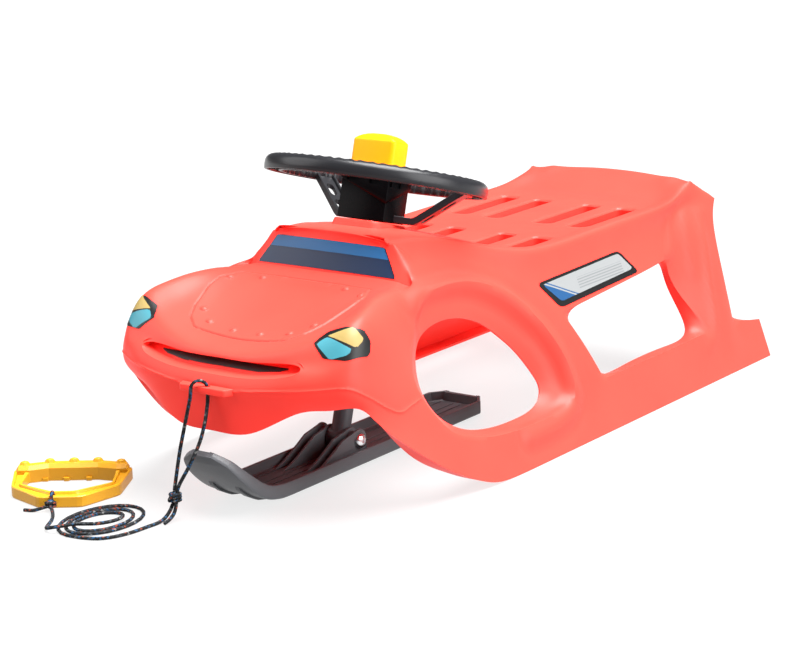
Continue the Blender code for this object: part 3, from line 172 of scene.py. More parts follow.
# The front face from under the hood down to its lower rim: centre y, heights on the lines but the last,
# then how late the row leaves its centre y
FRONT = (
    (-0.447, (0.184, 0.1845, 0.1875, 0.1945), 3.5),
    (-0.462, (0.168, 0.1690, 0.1775, 0.1810), 3.5),
    (-0.468, (0.155, 0.1553, 0.1610, 0.1640), 3.5),
    (-0.466, (0.138, 0.1390, 0.1445, 0.1475), 3.0),
    (-0.464, (0.101, 0.1035, 0.1315, 0.1355), 2.5),
)

# Upright columns of the side wall, nose to tail: y, z and how far out of the leaning plane, for the
# shoulder, the window top, the window middle, the window bottom and the lower edge
SIDE = (
    ((-0.408, 0.205, 0.021), (-0.412, 0.184, 0.017), (-0.414, 0.166, 0.013), (-0.413, 0.150, 0.007),
     (-0.408, 0.137, -0.003)),
    ((-0.350, 0.212, 0.019), (-0.342, 0.184, 0.015), (-0.338, 0.152, 0.010), (-0.350, 0.124, 0.004),
     (-0.376, 0.106, -0.003)),
    ((-0.302, 0.224, 0.009), (-0.297, 0.178, 0.006), (-0.306, 0.135, 0.005), (-0.272, 0.082, 0.002),
     (-0.320, 0.060, 0.0)),
    ((-0.243, 0.236, -0.002), (-0.252, 0.222, 0.003), None, (-0.235, 0.064, 0.0), (-0.273, 0.030, 0.0)),
    ((-0.208, 0.243, -0.010), (-0.210, 0.232, 0.001), None, (-0.195, 0.054, 0.0), (-0.224, 0.008, 0.0)),
    ((-0.172, 0.247, -0.014), (-0.165, 0.230, 0.0), None, (-0.150, 0.049, 0.0), (-0.178, 0.0, 0.0)),
    ((-0.135, 0.245, -0.014), (-0.118, 0.219, 0.0), None, (-0.102, 0.047, 0.0), (-0.110, 0.0, 0.0)),
    ((-0.085, 0.236, -0.012), (-0.068, 0.194, 0.0), None, (-0.052, 0.047, 0.0), (-0.050, 0.0, 0.0)),
    ((-0.035, 0.220, -0.006), (-0.026, 0.152, 0.0), (0.000, 0.100, 0.0), (-0.006, 0.056, 0.0),
     (0.0, 0.0, 0.0)),
    ((0.030, 0.212, -0.001), (0.026, 0.155, 0.0), (0.052, 0.108, 0.0), (0.071, RAIL_HEIGHT, 0.0),
     (0.075, 0.0, 0.0)),
    ((0.150, 0.212, -0.001), (0.145, 0.161, 0.0), None, (0.165, RAIL_HEIGHT, 0.0), (0.170, 0.0, 0.0)),
    ((0.250, 0.212, -0.001), (0.240, 0.166, 0.0), None, (0.260, RAIL_HEIGHT, 0.0), (0.265, 0.0, 0.0)),
    ((0.335, 0.212, -0.008), (0.303, 0.169, -0.004), (0.320, 0.125, -0.014), (0.355, RAIL_HEIGHT, -0.002),
     (0.350, 0.0, 0.0)),
    ((0.385, 0.224, -0.008), (0.378, 0.205, 0.002), (0.386, 0.125, 0.002), (0.390, RAIL_HEIGHT, 0.002),
     (0.395, 0.0, 0.0)),
    ((0.462, 0.227, 0.0), (0.445, 0.193, 0.0), (0.430, 0.130, 0.0), (0.417, RAIL_HEIGHT, 0.0),
     (0.430, 0.0, 0.0)),
    (None, None, None, (HALF_LENGTH, TAIL_HEIGHT, 0.0), (HALF_LENGTH, 0.0, 0.0)),
)

# Edges of the two side windows: column, row of SIDE, then y, z and offset of the flange's inner edge
FRONT_WINDOW = (
    (2, 1, -0.283, 0.163, -0.005), (3, 1, -0.262, 0.184, -0.006), (4, 1, -0.225, 0.193, -0.007),
    (5, 1, -0.180, 0.190, -0.009), (6, 1, -0.135, 0.175, -0.012), (7, 1, -0.098, 0.150, -0.017),
    (8, 1, -0.066, 0.122, -0.022), (8, 2, -0.042, 0.088, -0.025), (8, 3, -0.040, 0.068, -0.025),
    (7, 3, -0.065, 0.054, -0.025), (6, 3, -0.105, 0.051, -0.024), (5, 3, -0.150, 0.053, -0.022),
    (4, 3, -0.195, 0.060, -0.018), (3, 3, -0.235, 0.073, -0.013), (2, 3, -0.270, 0.096, -0.009),
    (2, 2, -0.289, 0.130, -0.006),
)
REAR_WINDOW = (
    (9, 1, 0.030, 0.152, -0.014), (10, 1, 0.145, 0.158, -0.014), (11, 1, 0.240, 0.163, -0.014),
    (12, 1, 0.302, 0.165, -0.016), (12, 2, 0.318, 0.124, -0.026), (12, 3, 0.338, 0.060, -FLANGE),
    (11, 3, 0.262, 0.058, -FLANGE), (10, 3, 0.167, 0.058, -FLANGE), (9, 3, 0.078, 0.057, -FLANGE),
    (9, 2, 0.055, 0.108, -0.014),
)

# Details of the shell's skin on the +X side, as x and y seen from above, or as x, y and z
HOOD_PANEL = ((0.0, -0.2740), (0.050, -0.2745), (0.097, -0.2805), (0.110, -0.3080), (0.108, -0.332),
              (0.098, -0.370), (0.086, -0.394), (0.068, -0.4090), (0.036, -0.4095), (0.0, -0.411))
HOOD_RIVETS = ((0.083, -0.372), (0.060, -0.389), (0.020, -0.3935), (0.099, -0.302), (0.063, -0.284))
FASCIA_SEAM = (
    (0.036, -0.468, 0.153), (0.070, -0.466, 0.157), (0.1025, -0.4587, 0.160), (0.140, -0.445, 0.163),
    (0.169, -0.4255, 0.164), (0.179, -0.400, 0.150), (0.184, -0.366, 0.128), (0.186, -0.345, 0.120),
    (0.187, -0.325, 0.124), (0.187, -0.305, 0.127),
)
ARCH_RIDGE = (
    (0.139, -0.262, 0.222), (0.140, -0.236, 0.234), (0.1417, -0.190, 0.234), (0.146, -0.145, 0.226),
    (0.148, -0.110, 0.2115), (0.1538, -0.077, 0.193), (0.1652, -0.039, 0.162), (0.175, -0.018, 0.138),
    (0.186, -0.003, 0.1085), (0.1974, 0.002, 0.0763), (0.2041, 0.000, 0.0585), (0.2097, -0.020, 0.0430),
    (0.2123, -0.060, 0.0354), (0.2119, -0.119, 0.0350),
)
PILLAR_FLUTES = (
    ((0.141, 0.346, 0.214), (0.1506, 0.331, 0.193), (0.160, 0.316, 0.171)),
    ((0.144, 0.383, 0.216), (0.156, 0.371, 0.193), (0.165, 0.363, 0.172), (0.176, 0.358, 0.140)),
    ((0.148, 0.4177, 0.2129), (0.166, 0.4022, 0.170), (0.182, 0.3854, 0.1228), (0.197, 0.3736, 0.0749),
     (0.205, 0.3575, 0.0524), (0.2095, 0.3367, 0.0431)),
)

# Windscreen and mouth films as x and z, and the height where the windscreen's upper band starts
SCREEN = ((-0.105, 0.2485), (0.105, 0.2485), (0.082, 0.2865), (-0.082, 0.2865))
SCREEN_Y = -0.25
SCREEN_NORMAL = (0, -1, 0.35)
BAND_HEIGHT = 0.2715
MOUTH = ((-0.097, 0.1797), (-0.085, 0.1762), (-0.055, 0.1728), (0.055, 0.1728), (0.085, 0.1762),
         (0.097, 0.1797))
MOUTH_Y = -0.44
MOUTH_NORMAL = (0, -1, 0)

# Side label and its pale field, as y and z in the side wall's plane
LABEL_BORDER = ((-0.006, 0.198), (0.192, 0.202), (0.224, 0.168), (0.026, 0.161))
LABEL_FIELD = ((0.004, 0.1945), (0.189, 0.1985), (0.212, 0.1745), (0.032, 0.168))

# Headlamp film and its two lenses: how far out of the side wall's plane, y and z
LAMP_NORMAL = (0.396, -0.792, 0.466)
LAMP = ((-0.0323, -0.4176, 0.2088), (-0.0200, -0.3990, 0.2185), (0.0041, -0.3935, 0.2255),
        (0.0205, -0.3844, 0.2227), (0.0229, -0.3827, 0.2103), (0.0201, -0.3890, 0.1945),
        (0.0103, -0.4191, 0.1945), (-0.0163, -0.4279, 0.1960))
AMBER_LENS = ((-0.0170, -0.4069, 0.2155), (0.0081, -0.3846, 0.2221), (0.0191, -0.3874, 0.2117),
              (0.0139, -0.3989, 0.2033))
CLEAR_LENS = ((-0.0269, -0.4197, 0.2088), (-0.0168, -0.4076, 0.2147), (0.0107, -0.4025, 0.2016),
              (0.0066, -0.4099, 0.1966), (-0.0103, -0.4238, 0.1934))

# Ski sections from tip to tail: y and z of the base, half width, edge height, floor thickness
SKI = (
    (-0.4868, 0.0755, 0.016, 0.008, 0.0075),
    (-0.4810, 0.0670, 0.030, 0.010, 0.0090),
    (-0.4770, 0.0615, 0.0355, 0.011, 0.0050),
    (-0.4660, 0.0480, 0.0400, 0.013, 0.0050),
    (-0.4500, 0.0325, SKI_HALF_WIDTH, 0.015, 0.0055),
    (-0.4330, 0.0190, SKI_HALF_WIDTH, 0.016, SKI_FLOOR),
    (-0.4140, 0.0090, SKI_HALF_WIDTH, 0.017, SKI_FLOOR),
    (-0.3930, 0.0040, SKI_HALF_WIDTH, 0.018, SKI_FLOOR),
    (-0.3750, SKI_BASE, SKI_HALF_WIDTH, 0.018, SKI_FLOOR),
    (-0.1500, SKI_BASE, SKI_HALF_WIDTH, 0.018, SKI_FLOOR),
    (0.0240, SKI_BASE, SKI_HALF_WIDTH, 0.018, SKI_FLOOR),
    (0.0360, SKI_BASE, 0.033, 0.018, SKI_FLOOR),
    (0.0380, SKI_BASE, 0.031, 0.018, 0.0170),
    (0.0440, SKI_BASE, 0.028, 0.018, 0.0170),
)
EAR_FRONT = ((-0.327, 0.006), (-0.317, 0.0100), (-0.298, 0.0165), (-0.278, 0.0265), (-0.257, 0.0380))
EAR_REAR = ((-0.2095, 0.018), (-0.206, 0.0100), (-0.187, 0.0080), (-0.172, 0.006))
EAR_PLATES = ((0.0135, 0.0170), (0.0270, 0.0305))

# Rope from the knot over the ledge and back, the lead to the coil and the way from it to the handle
STRAND_UP = ((-0.0262, -0.5045, 0.0345), (-0.0268, -0.4995, 0.050), (-0.0240, -0.4940, 0.080),
             (-0.0175, -0.4890, 0.115), (-0.0105, -0.4850, 0.148))
STRAND_DOWN = ((0.0041, -0.4726, 0.149), (0.0047, -0.4750, 0.135), (0.0048, -0.4818, 0.113),
               (0.0010, -0.4890, 0.090), (-0.0095, -0.4970, 0.063), (-0.0185, -0.5030, 0.044),
               (-0.0213, -0.5055, 0.0345))
LEAD = ((-0.0266, -0.5080, 0.0196), (-0.0272, -0.5130, 0.0120), (-0.0284, -0.5220, 0.0050),
        (-0.0300, -0.5320, 0.0024), (-0.0315, -0.5480, 0.0023), (-0.0335, -0.5700, 0.0023),
        (-0.0400, -0.5920, 0.0023), (-0.0520, -0.6080, 0.0023), (-0.0700, -0.6155, 0.0023))
COIL_OUT = ((-0.0995, -0.5965, 0.0078), (-0.1040, -0.6050, 0.0079), (-0.1090, -0.6125, 0.0078),
            (-0.1155, -0.6172, 0.0068), (-0.1230, -0.6168, 0.0047), (-0.1300, -0.6105, 0.0027),
            (-0.1365, -0.6000, 0.0023), (-0.1425, -0.5890, 0.0027), (-0.1500, -0.5790, 0.0043),
            (-0.1580, -0.5715, 0.0060), (-0.1672, -0.5641, 0.0075))


class Socket:
    """One output of a shader node; sums and products of it add Math nodes."""

    def __init__(self, paint, output):
        self.paint = paint
        self.output = output

    def math(self, operation, first, second=0.0):
        return self.paint.node("Math", {"operation": operation}, {0: first, 1: second})

    def __add__(self, other):
        return self.math("ADD", self, other)

    def __radd__(self, other):
        return self.math("ADD", other, self)

    def __sub__(self, other):
        return self.math("SUBTRACT", self, other)

    def __rsub__(self, other):
        return self.math("SUBTRACT", other, self)

    def __mul__(self, other):
        return self.math("MULTIPLY", self, other)

    def __rmul__(self, other):
        return self.math("MULTIPLY", other, self)

    def __gt__(self, other):
        return self.math("GREATER_THAN", self, other)

    def __lt__(self, other):
        return self.math("LESS_THAN", self, other)

    def floor(self):
        return self.math("FLOOR", self)

    def fraction(self):
        return self.math("FRACT", self)


class Paint:
    """A material in the making: node adds any shader node, and feed sets or links a socket."""

    def __init__(self, name, **values):
        self.material = bpy.data.materials.new(name)
        self.material.use_nodes = True
        self.tree = self.material.node_tree
        self.shader = self.tree.nodes["Principled BSDF"]
        for key, value in values.items():
            self.set(key.replace("_", " "), value)

    def feed(self, socket, value):
        if isinstance(value, Socket):
            self.tree.links.new(value.output, socket)
        elif socket.type == "RGBA" and len(value) == 3:
            socket.default_value = (*value, 1.0)
        else:
            socket.default_value = value

    def set(self, name, value):
        self.feed(self.shader.inputs[name], value)

    def node(self, kind, settings=None, inputs=None, output=0):
        node = self.tree.nodes.new("ShaderNode" + kind)
        for name, value in (settings or {}).items():
            if name == "stops":
                fill_ramp(node.color_ramp, value)
            else:
                setattr(node, name, value)
        for key, value in (inputs or {}).items():
            self.feed(node.inputs[key], value)
        return Socket(self, node.outputs[output])

    def here(self, coordinates="Object"):
        return self.node("TexCoord", {}, {}, coordinates)

    def noise(self, scale, detail=2.0, place=None):
        place = place or self.here()
        return self.node("TexNoise", {}, {"Vector": place, "Scale": scale, "Detail": detail}, "Fac")

    def mix(self, share, first, second):
        return self.node("Mix", {"data_type": "RGBA"}, {0: share, 6: first, 7: second}, 2)

    def bump(self, height, distance, strength=1.0):
        inputs = {"Strength": strength, "Distance": distance, "Height": height}
        self.set("Normal", self.node("Bump", {}, inputs, "Normal"))


def fill_ramp(ramp, stops):
    ramp.interpolation = "CONSTANT"
    while len(ramp.elements) < len(stops):
        ramp.elements.new(1.0)
    for element, (position, colour) in zip(ramp.elements, stops):
        element.position = position
        element.color = (*colour, 1.0)


def moulded(name, colour, deep, roughness, grain, depth, specular):
    """Moulded plastic: a slow drift of colour, a fine grain and uneven gloss."""
    paint = Paint(name, Specular_IOR_Level=specular)
    drift = paint.noise(9.0, 3.0)
    paint.set("Base Color", paint.mix(drift, colour, deep))
    paint.set("Roughness", paint.noise(38.0, 4.0) * 0.12 + (roughness - 0.06))
    height = paint.noise(grain, 2.0) * 0.6 + paint.noise(grain * 0.22, 3.0) * 0.7
    paint.bump(height, depth, 0.55)
    return paint.material


def braided():
    """Braided rope: strand cells along and round the UV map, in greys with coloured flecks."""
    paint = Paint("rope_braid", Roughness=0.78, Specular_IOR_Level=0.2)
    split = paint.here("UV")
    along = paint.node("SeparateXYZ", {}, {0: split}, 0)
    girth = paint.node("SeparateXYZ", {}, {0: split}, 1)
    first = along * 300.0 + girth * 4.0
    second = along * 300.0 - girth * 4.0
    cell = paint.node("CombineXYZ", {}, {0: first.floor(), 1: second.floor()})
    dice = paint.node("TexWhiteNoise", {"noise_dimensions": "2D"}, {"Vector": cell}, "Value")
    stops = (
        (0.0, (0.001, 0.0014, 0.002)), (0.42, (0.006, 0.007, 0.009)), (0.68, (0.022, 0.026, 0.030)),
        (0.80, (0.006, 0.035, 0.080)), (0.88, (0.12, 0.020, 0.008)), (0.94, (0.09, 0.09, 0.088)),
        (0.97, (0.002, 0.002, 0.002)),
    )
    colour = paint.node("ValToRGB", {"stops": stops}, {"Fac": dice}, "Color")
    edge = (first.fraction() - 0.5) * (second.fraction() - 0.5)
    paint.set("Base Color", colour)
    paint.bump(edge + paint.noise(5000.0, 1.0) * 0.1, 0.0004, 0.5)
    return paint.material


def brushed(name, roughness):
    paint = Paint(name, Metallic=1.0)
    paint.set("Base Color", paint.mix(paint.noise(160.0, 3.0), (0.70, 0.71, 0.73), (0.86, 0.87, 0.89)))
    paint.set("Roughness", paint.noise(420.0, 2.0) * 0.15 + (roughness - 0.05))
    paint.bump(paint.noise(1400.0, 2.0), 0.00003, 0.4)
    return paint.material


def film(name, colour, other, roughness=0.40):
    """Printed film: two tones that drift across it under a clear glossy face."""
    paint = Paint(name, Coat_Weight=0.1, Coat_Roughness=0.35, Specular_IOR_Level=0.2)
    paint.set("Base Color", paint.mix(paint.noise(14.0, 2.0), colour, other))
    paint.set("Roughness", paint.noise(60.0, 2.0) * 0.06 + roughness)
    paint.bump(paint.noise(260.0, 2.0), 0.00004, 0.3)
    return paint.material


def label_print():
    """Side label: a pale field with a blue corner and rows of plain grey bars."""
    paint = Paint("label_field", Specular_IOR_Level=0.2, Roughness=0.4)
    place = paint.here("UV")
    across = paint.node("SeparateXYZ", {}, {0: place}, 0)
    up = paint.node("SeparateXYZ", {}, {0: place}, 1)
    bars = ((up * 9.0).fraction() < 0.42) * (up > 0.2) * (up < 0.68) * (across > 0.36) * (across < 0.9)
    field = paint.mix(bars * 0.45, (0.145, 0.15, 0.152), (0.045, 0.048, 0.050))
    wedge = (across * 1.0 + up * 0.35) < 0.30
    field = paint.mix(wedge, field, (0.008, 0.040, 0.105))
    stripe = (((across + up * 0.35) > 0.325) * ((across + up * 0.35) < 0.345))
    paint.set("Base Color", paint.mix(stripe, field, (0.008, 0.040, 0.105)))
    paint.bump(paint.noise(260.0, 2.0), 0.00004, 0.3)
    return paint.material


def sheet(bm, rows, closed=False, marks=None):
    """Moves the corners of a grid to the rows' points; closed joins each row's end to its start."""
    if closed:
        rows = [list(row) + [row[0]] for row in rows]
    wide = len(rows[0])
    before = len(bm.faces)
    grid = bmesh.ops.create_grid(bm, x_segments=wide - 1, y_segments=len(rows) - 1, size=1.0)
    verts = grid["verts"]
    places = [point for row in rows for point in row]
    for v, point in zip(verts, places):
        if point is not None:
            v.co = point
    if marks:
        uv = bm.loops.layers.uv.verify()
        number = {v: i for i, v in enumerate(verts)}
        bm.faces.ensure_lookup_table()
        for face in bm.faces[before:]:
            for loop in face.loops:
                i = number[loop.vert]
                loop[uv].uv = (marks[i // wide], (i % wide) / (wide - 1))
    spare = [v for v, point in zip(verts, places) if point is None]
    if spare:
        bmesh.ops.delete(bm, geom=spare, context="VERTS")
    if closed:
        seam = verts[0::wide] + verts[wide - 1::wide]
        bmesh.ops.remove_doubles(bm, verts=seam, dist=1e-6)


def close_ends(bm):
    bmesh.ops.holes_fill(bm, edges=[e for e in bm.edges if e.is_boundary], sides=0)
    bmesh.ops.recalc_face_normals(bm, faces=bm.faces)


def stack(rings, ring_closed=False, marks=None):
    """A closed solid through rings of points; ring_closed joins the last ring to the first."""
    bm = bmesh.new()
    rings = [list(ring) for ring in rings]
    if ring_closed:
        rings.append(rings[0])
    sheet(bm, rings, closed=True, marks=marks)
    if ring_closed:
        bmesh.ops.remove_doubles(bm, verts=bm.verts, dist=1e-6)
        bmesh.ops.recalc_face_normals(bm, faces=bm.faces)
    else:
        close_ends(bm)
    return bm


def prism(points, offset):
    """A closed solid from an outline that is extruded along an offset."""
    bm = bmesh.new()
    outline = [bm.verts.new(p) for p in points]
    face = bm.faces.new(outline)
    made = bmesh.ops.extrude_face_region(bm, geom=[face])
    moved = [v for v in made["geom"] if isinstance(v, bmesh.types.BMVert)]
    bmesh.ops.translate(bm, verts=moved, vec=offset)
    bmesh.ops.recalc_face_normals(bm, faces=bm.faces)
    return bm


def bevel_edges(bm, edges, width, segments=3):
    bmesh.ops.bevel(bm, geom=edges, offset=width, affect="EDGES", segments=segments, profile=0.5, material=-1)


def rod(start, end, radius, sides=48, end_radius=None, bevel=0.0):
    """A closed cylinder or cone between two points, with bevelled rims."""
    start, end = Vector(start), Vector(end)
    axis = end - start
    bm = bmesh.new()
    far = radius if end_radius is None else end_radius
    bmesh.ops.create_cone(bm, cap_ends=True, segments=sides, radius1=radius, radius2=far, depth=axis.length)
    if bevel:
        rims = [e for e in bm.edges if sorted(len(f.verts) for f in e.link_faces)[-1] == sides]
        bevel_edges(bm, rims, bevel)
    turn = Vector((0, 0, 1)).rotation_difference(axis.normalized()).to_matrix().to_4x4()
    bmesh.ops.transform(bm, matrix=Matrix.Translation((start + end) / 2) @ turn, verts=bm.verts)
    return bm


def around(sides):
    """The angles of a full turn in equal steps."""
    return [2 * math.pi * i / sides for i in range(sides)]


def lathe(profile, sides=48):
    """A closed ring of revolution about local Z from (radius, height) pairs."""
    rings = [[(r * math.cos(t), r * math.sin(t), z) for r, z in profile] for t in around(sides)]
    return stack(rings, ring_closed=True)


def ball(centre, radii, sides=24):
    bm = bmesh.new()
    bmesh.ops.create_uvsphere(bm, u_segments=sides, v_segments=sides // 2, radius=1.0)
    bmesh.ops.transform(bm, matrix=Matrix.Translation(centre) @ Matrix.Diagonal((*radii, 1.0)),
                        verts=bm.verts)
    return bm


def pour(target, source, matrix=None):
    """Copies one bmesh into another, moved by the matrix, and frees it."""
    if matrix is not None:
        bmesh.ops.transform(source, matrix=matrix, verts=source.verts)
    mesh = bpy.data.meshes.new("poured")
    source.to_mesh(mesh)
    source.free()
    target.from_mesh(mesh)
    bpy.data.meshes.remove(mesh)


def rounded_rectangle(half_x, half_y, radius, steps=6):
    """Corner points of a rectangle with rounded corners, centred on 0."""
    points = []
    for sx, sy, start in ((1, 1, 0), (-1, 1, 90), (-1, -1, 180), (1, -1, 270)):
        for i in range(steps + 1):
            t = math.radians(start + 90 * i / steps)
            points.append((sx * (half_x - radius) + radius * math.cos(t),
                           sy * (half_y - radius) + radius * math.sin(t)))
    return points


def rounded_outline(corners, radius, steps=6):
    """Rounds the corners of a flat outline given as 3-D points."""
    corners = [Vector(c) for c in corners]
    points = []
    for i, corner in enumerate(corners):
        before = (corners[i - 1] - corner).normalized() * radius
        after = (corners[(i + 1) % len(corners)] - corner).normalized() * radius
        for k in range(steps + 1):
            t = k / steps
            points.append(corner + before * (1 - t) ** 2 + after * t * t)
    return points


def spline(points, per_span):
    """A smooth line through points, or through tuples of any length."""
    points = [Vector(p) for p in points]
    full = [2 * points[0] - points[1]] + points + [2 * points[-1] - points[-2]]
    line = []
    for a, b, c, d in zip(full, full[1:], full[2:], full[3:]):
        for i in range(per_span):
            t = i / per_span
            line.append(0.5 * (2 * b + (c - a) * t + (2 * a - 5 * b + 4 * c - d) * t * t
                               + (3 * b - a - 3 * c + d) * t**3))
    line.append(points[-1])
    return line


def even_line(points, step):
    """The same line with a point every step."""
    points = [Vector(p) for p in points]
    total = sum((b - a).length for a, b in zip(points, points[1:]))
    count = max(2, round(total / step))
    wanted = [total * i / count for i in range(count + 1)]
    line = []
    travelled = 0.0
    k = 0
    for a, b in zip(points, points[1:]):
        length = (b - a).length
        while k <= count and wanted[k] <= travelled + length + 1e-9:
            line.append(a.lerp(b, min(1.0, (wanted[k] - travelled) / max(length, 1e-12))))
            k += 1
        travelled += length
    return line


def direction_at(line, i):
    """Unit direction of a line at one of its points."""
    return (line[min(i + 1, len(line) - 1)] - line[max(i - 1, 0)]).normalized()


def column_matrix():
    """Column frame: X across the sled, Z up the column, origin at the wheel's centre."""
    return Matrix.Translation(WHEEL_CENTRE) @ Matrix.Rotation(-COLUMN_TILT, 4, "X")


def stand_on_column(bm):
    """Moves a bmesh made in the column's frame to its place on the sled."""
    bmesh.ops.transform(bm, matrix=column_matrix(), verts=bm.verts)
    return bm


def pivot_point():
    """Where the column's axis meets the ski's hinge bolt."""
    drop = WHEEL_CENTRE[2] - PIVOT_HEIGHT
    return Vector((0.0, WHEEL_CENTRE[1] - drop * math.tan(COLUMN_TILT), PIVOT_HEIGHT))


def piece(name, bm, material, body, replaced=(), angle=35.0):
    """Makes a finished object of a bmesh that rides on a body and stands for the named nodes."""
    mesh = bpy.data.meshes.new(name)
    bm.to_mesh(mesh)
    bm.free()
    mesh.materials.append(material)
    mesh.shade_smooth()
    mesh.set_sharp_from_angle(angle=math.radians(angle))
    obj = bpy.data.objects.new(name, mesh)
    bpy.context.scene.collection.objects.link(obj)
    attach(obj, body)
    if replaced:
        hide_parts(*replaced)
    return obj


def loose(name, bm):
    mesh = bpy.data.meshes.new(name)
    bm.to_mesh(mesh)
    bm.free()
    obj = bpy.data.objects.new(name, mesh)
    bpy.context.scene.collection.objects.link(obj)
    return obj


def carve(bm, steps):
    """Runs Boolean steps on a bmesh and returns the result as a new bmesh."""
    obj = loose("carved", bm)
    helpers = []
    for operation, tool in steps:
        helper = loose("tool", tool)
        helpers.append(helper)
        modifier = obj.modifiers.new("step", "BOOLEAN")
        modifier.operation = operation
        modifier.solver = "EXACT"
        modifier.object = helper
    return settle(obj, helpers)


def settle(obj, helpers=()):
    """The bmesh of an object as its modifiers leave it; the object and its helpers are removed."""
    bpy.context.view_layer.update()
    mesh = bpy.data.meshes.new_from_object(obj.evaluated_get(bpy.context.evaluated_depsgraph_get()))
    bm = bmesh.new()
    bm.from_mesh(mesh)
    bpy.data.meshes.remove(mesh)
    for spare in (obj, *helpers):
        bpy.data.objects.remove(spare)
    return bm


def side_x(z, out=0.0):
    """Half width of the leaning side wall at height z."""
    return FLOOR_HALF_WIDTH - SIDE_LEAN * z + out


def power_line(centre, edge, shares, height_power, bow_power):
    """Points from the centre line to an edge point, held back by the two powers."""
    points = []
    for share in shares:
        y = centre[0] + (edge[1] - centre[0]) * share**bow_power
        z = centre[1] + (edge[2] - centre[1]) * share**height_power
        points.append(Vector((edge[0] * share, y, z)))
    return points


class Cage:
    """The left half of the shell as a cage of quads; corners are found again by their place."""

    def __init__(self):
        self.bm = bmesh.new()
        self.side = [[p and Vector((side_x(p[1], p[2]), p[0], p[1])) for p in column] for column in SIDE]
        self.top = []
        for yc, zc, out, ye, ze, height_power, bow_power in TOP:
            edge = (side_x(ze, out), ye, ze)
            self.top.append(power_line((yc, zc), edge, LINES, height_power, bow_power))
        for (yc, zc), corner in zip(REAR, self.side[14][:2]):
            self.top.append(power_line((yc, zc), corner, LINES[:-1], 2.0, 2.0) + [corner])
        self.front = [self.top[0]]
        for (yc, heights, bow_power), corner in zip(FRONT, self.side[0]):
            row = power_line((yc, 0.0), corner, LINES[:-1], 1.0, bow_power)
            self.front.append([Vector((p.x, p.y, z)) for p, z in zip(row, heights)] + [corner])
        sheet(self.bm, self.top)
        sheet(self.bm, self.front)
        sheet(self.bm, [[self.top[i][4] if i < 15 else None] + self.side[i] for i in range(16)])
        bmesh.ops.remove_doubles(self.bm, verts=self.bm.verts, dist=1e-6)
        self.sharpness = self.bm.edges.layers.float.new("crease_edge")
        self.pins = self.bm.verts.layers.float.new("crease_vert")
        self.book = {self.key(v.co): v for v in self.bm.verts}

    def key(self, place):
        return tuple(round(c, 5) for c in place)

    def edges(self, chain, closed=False):
        pairs = list(zip(chain, chain[1:])) + ([(chain[-1], chain[0])] if closed else [])
        found = []
        for a, b in pairs:
            edge = a and b and self.bm.edges.get((self.book[self.key(a)], self.book[self.key(b)]))
            if edge:
                found.append(edge)
        return found

    def crease(self, chain, value, closed=False):
        for edge in self.edges(chain, closed):
            edge[self.sharpness] = value

    def pin(self, places, value):
        """Keeps corners of the cage sharp when it is smoothed."""
        for place in places:
            self.book[self.key(place)][self.pins] = value

    def lip(self, chain, steps, closed=False):
        """Extrudes the open edges along a chain and moves each new corner by its step."""
        made = bmesh.ops.extrude_edge_only(self.bm, edges=self.edges(chain, closed))
        steps = {self.key(place): step for place, step in zip(chain, steps)}
        for v in made["geom"]:
            if isinstance(v, bmesh.types.BMVert):
                v.co += steps[self.key(v.co)]


def shell_cage():
    """The cage with its windows, flanges, sharp lines and the recess for the grille."""
    cage = Cage()
    side, top, front = cage.side, cage.top, cage.front
    for window in (FRONT_WINDOW, REAR_WINDOW):
        chain = [side[column][row] for column, row, *_ in window]
        inner = [Vector((side_x(z, out), y, z)) for _, _, y, z, out in window]
        cage.crease(chain, 0.5 if window is FRONT_WINDOW else 0.75, closed=True)
        cage.lip(chain, [b - a for a, b in zip(chain, inner)], closed=True)
    chain = front[-1] + [side[1][4]]
    steps = [Vector((0, 0.014, 0.002))] * 4 + [Vector((-0.008, 0.012, 0.002)), Vector((-0.018, 0.010, 0.004))]
    for column in range(2, 16):
        chain.append(side[column][4])
        steps.append(Vector((-SOLE_WIDTH, 0, 0)))
    for corner in (side[15][3], side[14][3], side[14][2]):
        chain.append(corner)
        steps.append(Vector((-FLANGE, 0, 0)))
    chain += list(reversed(top[-1]))
    steps += [Vector((-0.016, -0.008, -0.006))] + [Vector((0, -0.012, -0.002))] * 4
    cage.lip(chain, steps)
    cage.crease(front[-1] + [side[1][4]], 0.6)
    cage.crease([column[4] for column in side[1:5]], 0.7)
    cage.crease([column[4] for column in side[4:]], 1.0)
    cage.crease(side[15][3:], 1.0)
    cage.crease([top[-2][4], side[14][1], side[14][2], side[14][3], side[15][3]], 0.6)
    cage.crease(top[3], 0.7)
    cage.crease(top[5], 0.3)
    cage.crease(top[14][:4], 0.35)
    cage.pin([side[15][3], side[15][4], side[14][3], side[9][1], side[9][3], side[12][1]], 1.0)
    cage.pin([top[5][4], side[12][3]], 0.7)
    cage.pin([top[3][4], top[4][4], top[14][4], side[14][0]], 0.45)
    rows = set(cage.book[cage.key(p)] for p in front[1][:3] + front[2][:3])
    mouth = [f for f in cage.bm.faces if all(v in rows for v in f.verts)]
    bmesh.ops.recalc_face_normals(cage.bm, faces=cage.bm.faces)
    rim = {e for face in mouth for e in face.edges if sum(f in mouth for f in e.link_faces) == 1}
    for edge in rim:
        edge[cage.sharpness] = 0.8
    bmesh.ops.inset_region(cage.bm, faces=mouth, thickness=0.0020, use_even_offset=True, use_boundary=False)
    for v in {v for face in mouth for v in face.verts}:
        v.co.y += 0.015
    return cage.bm


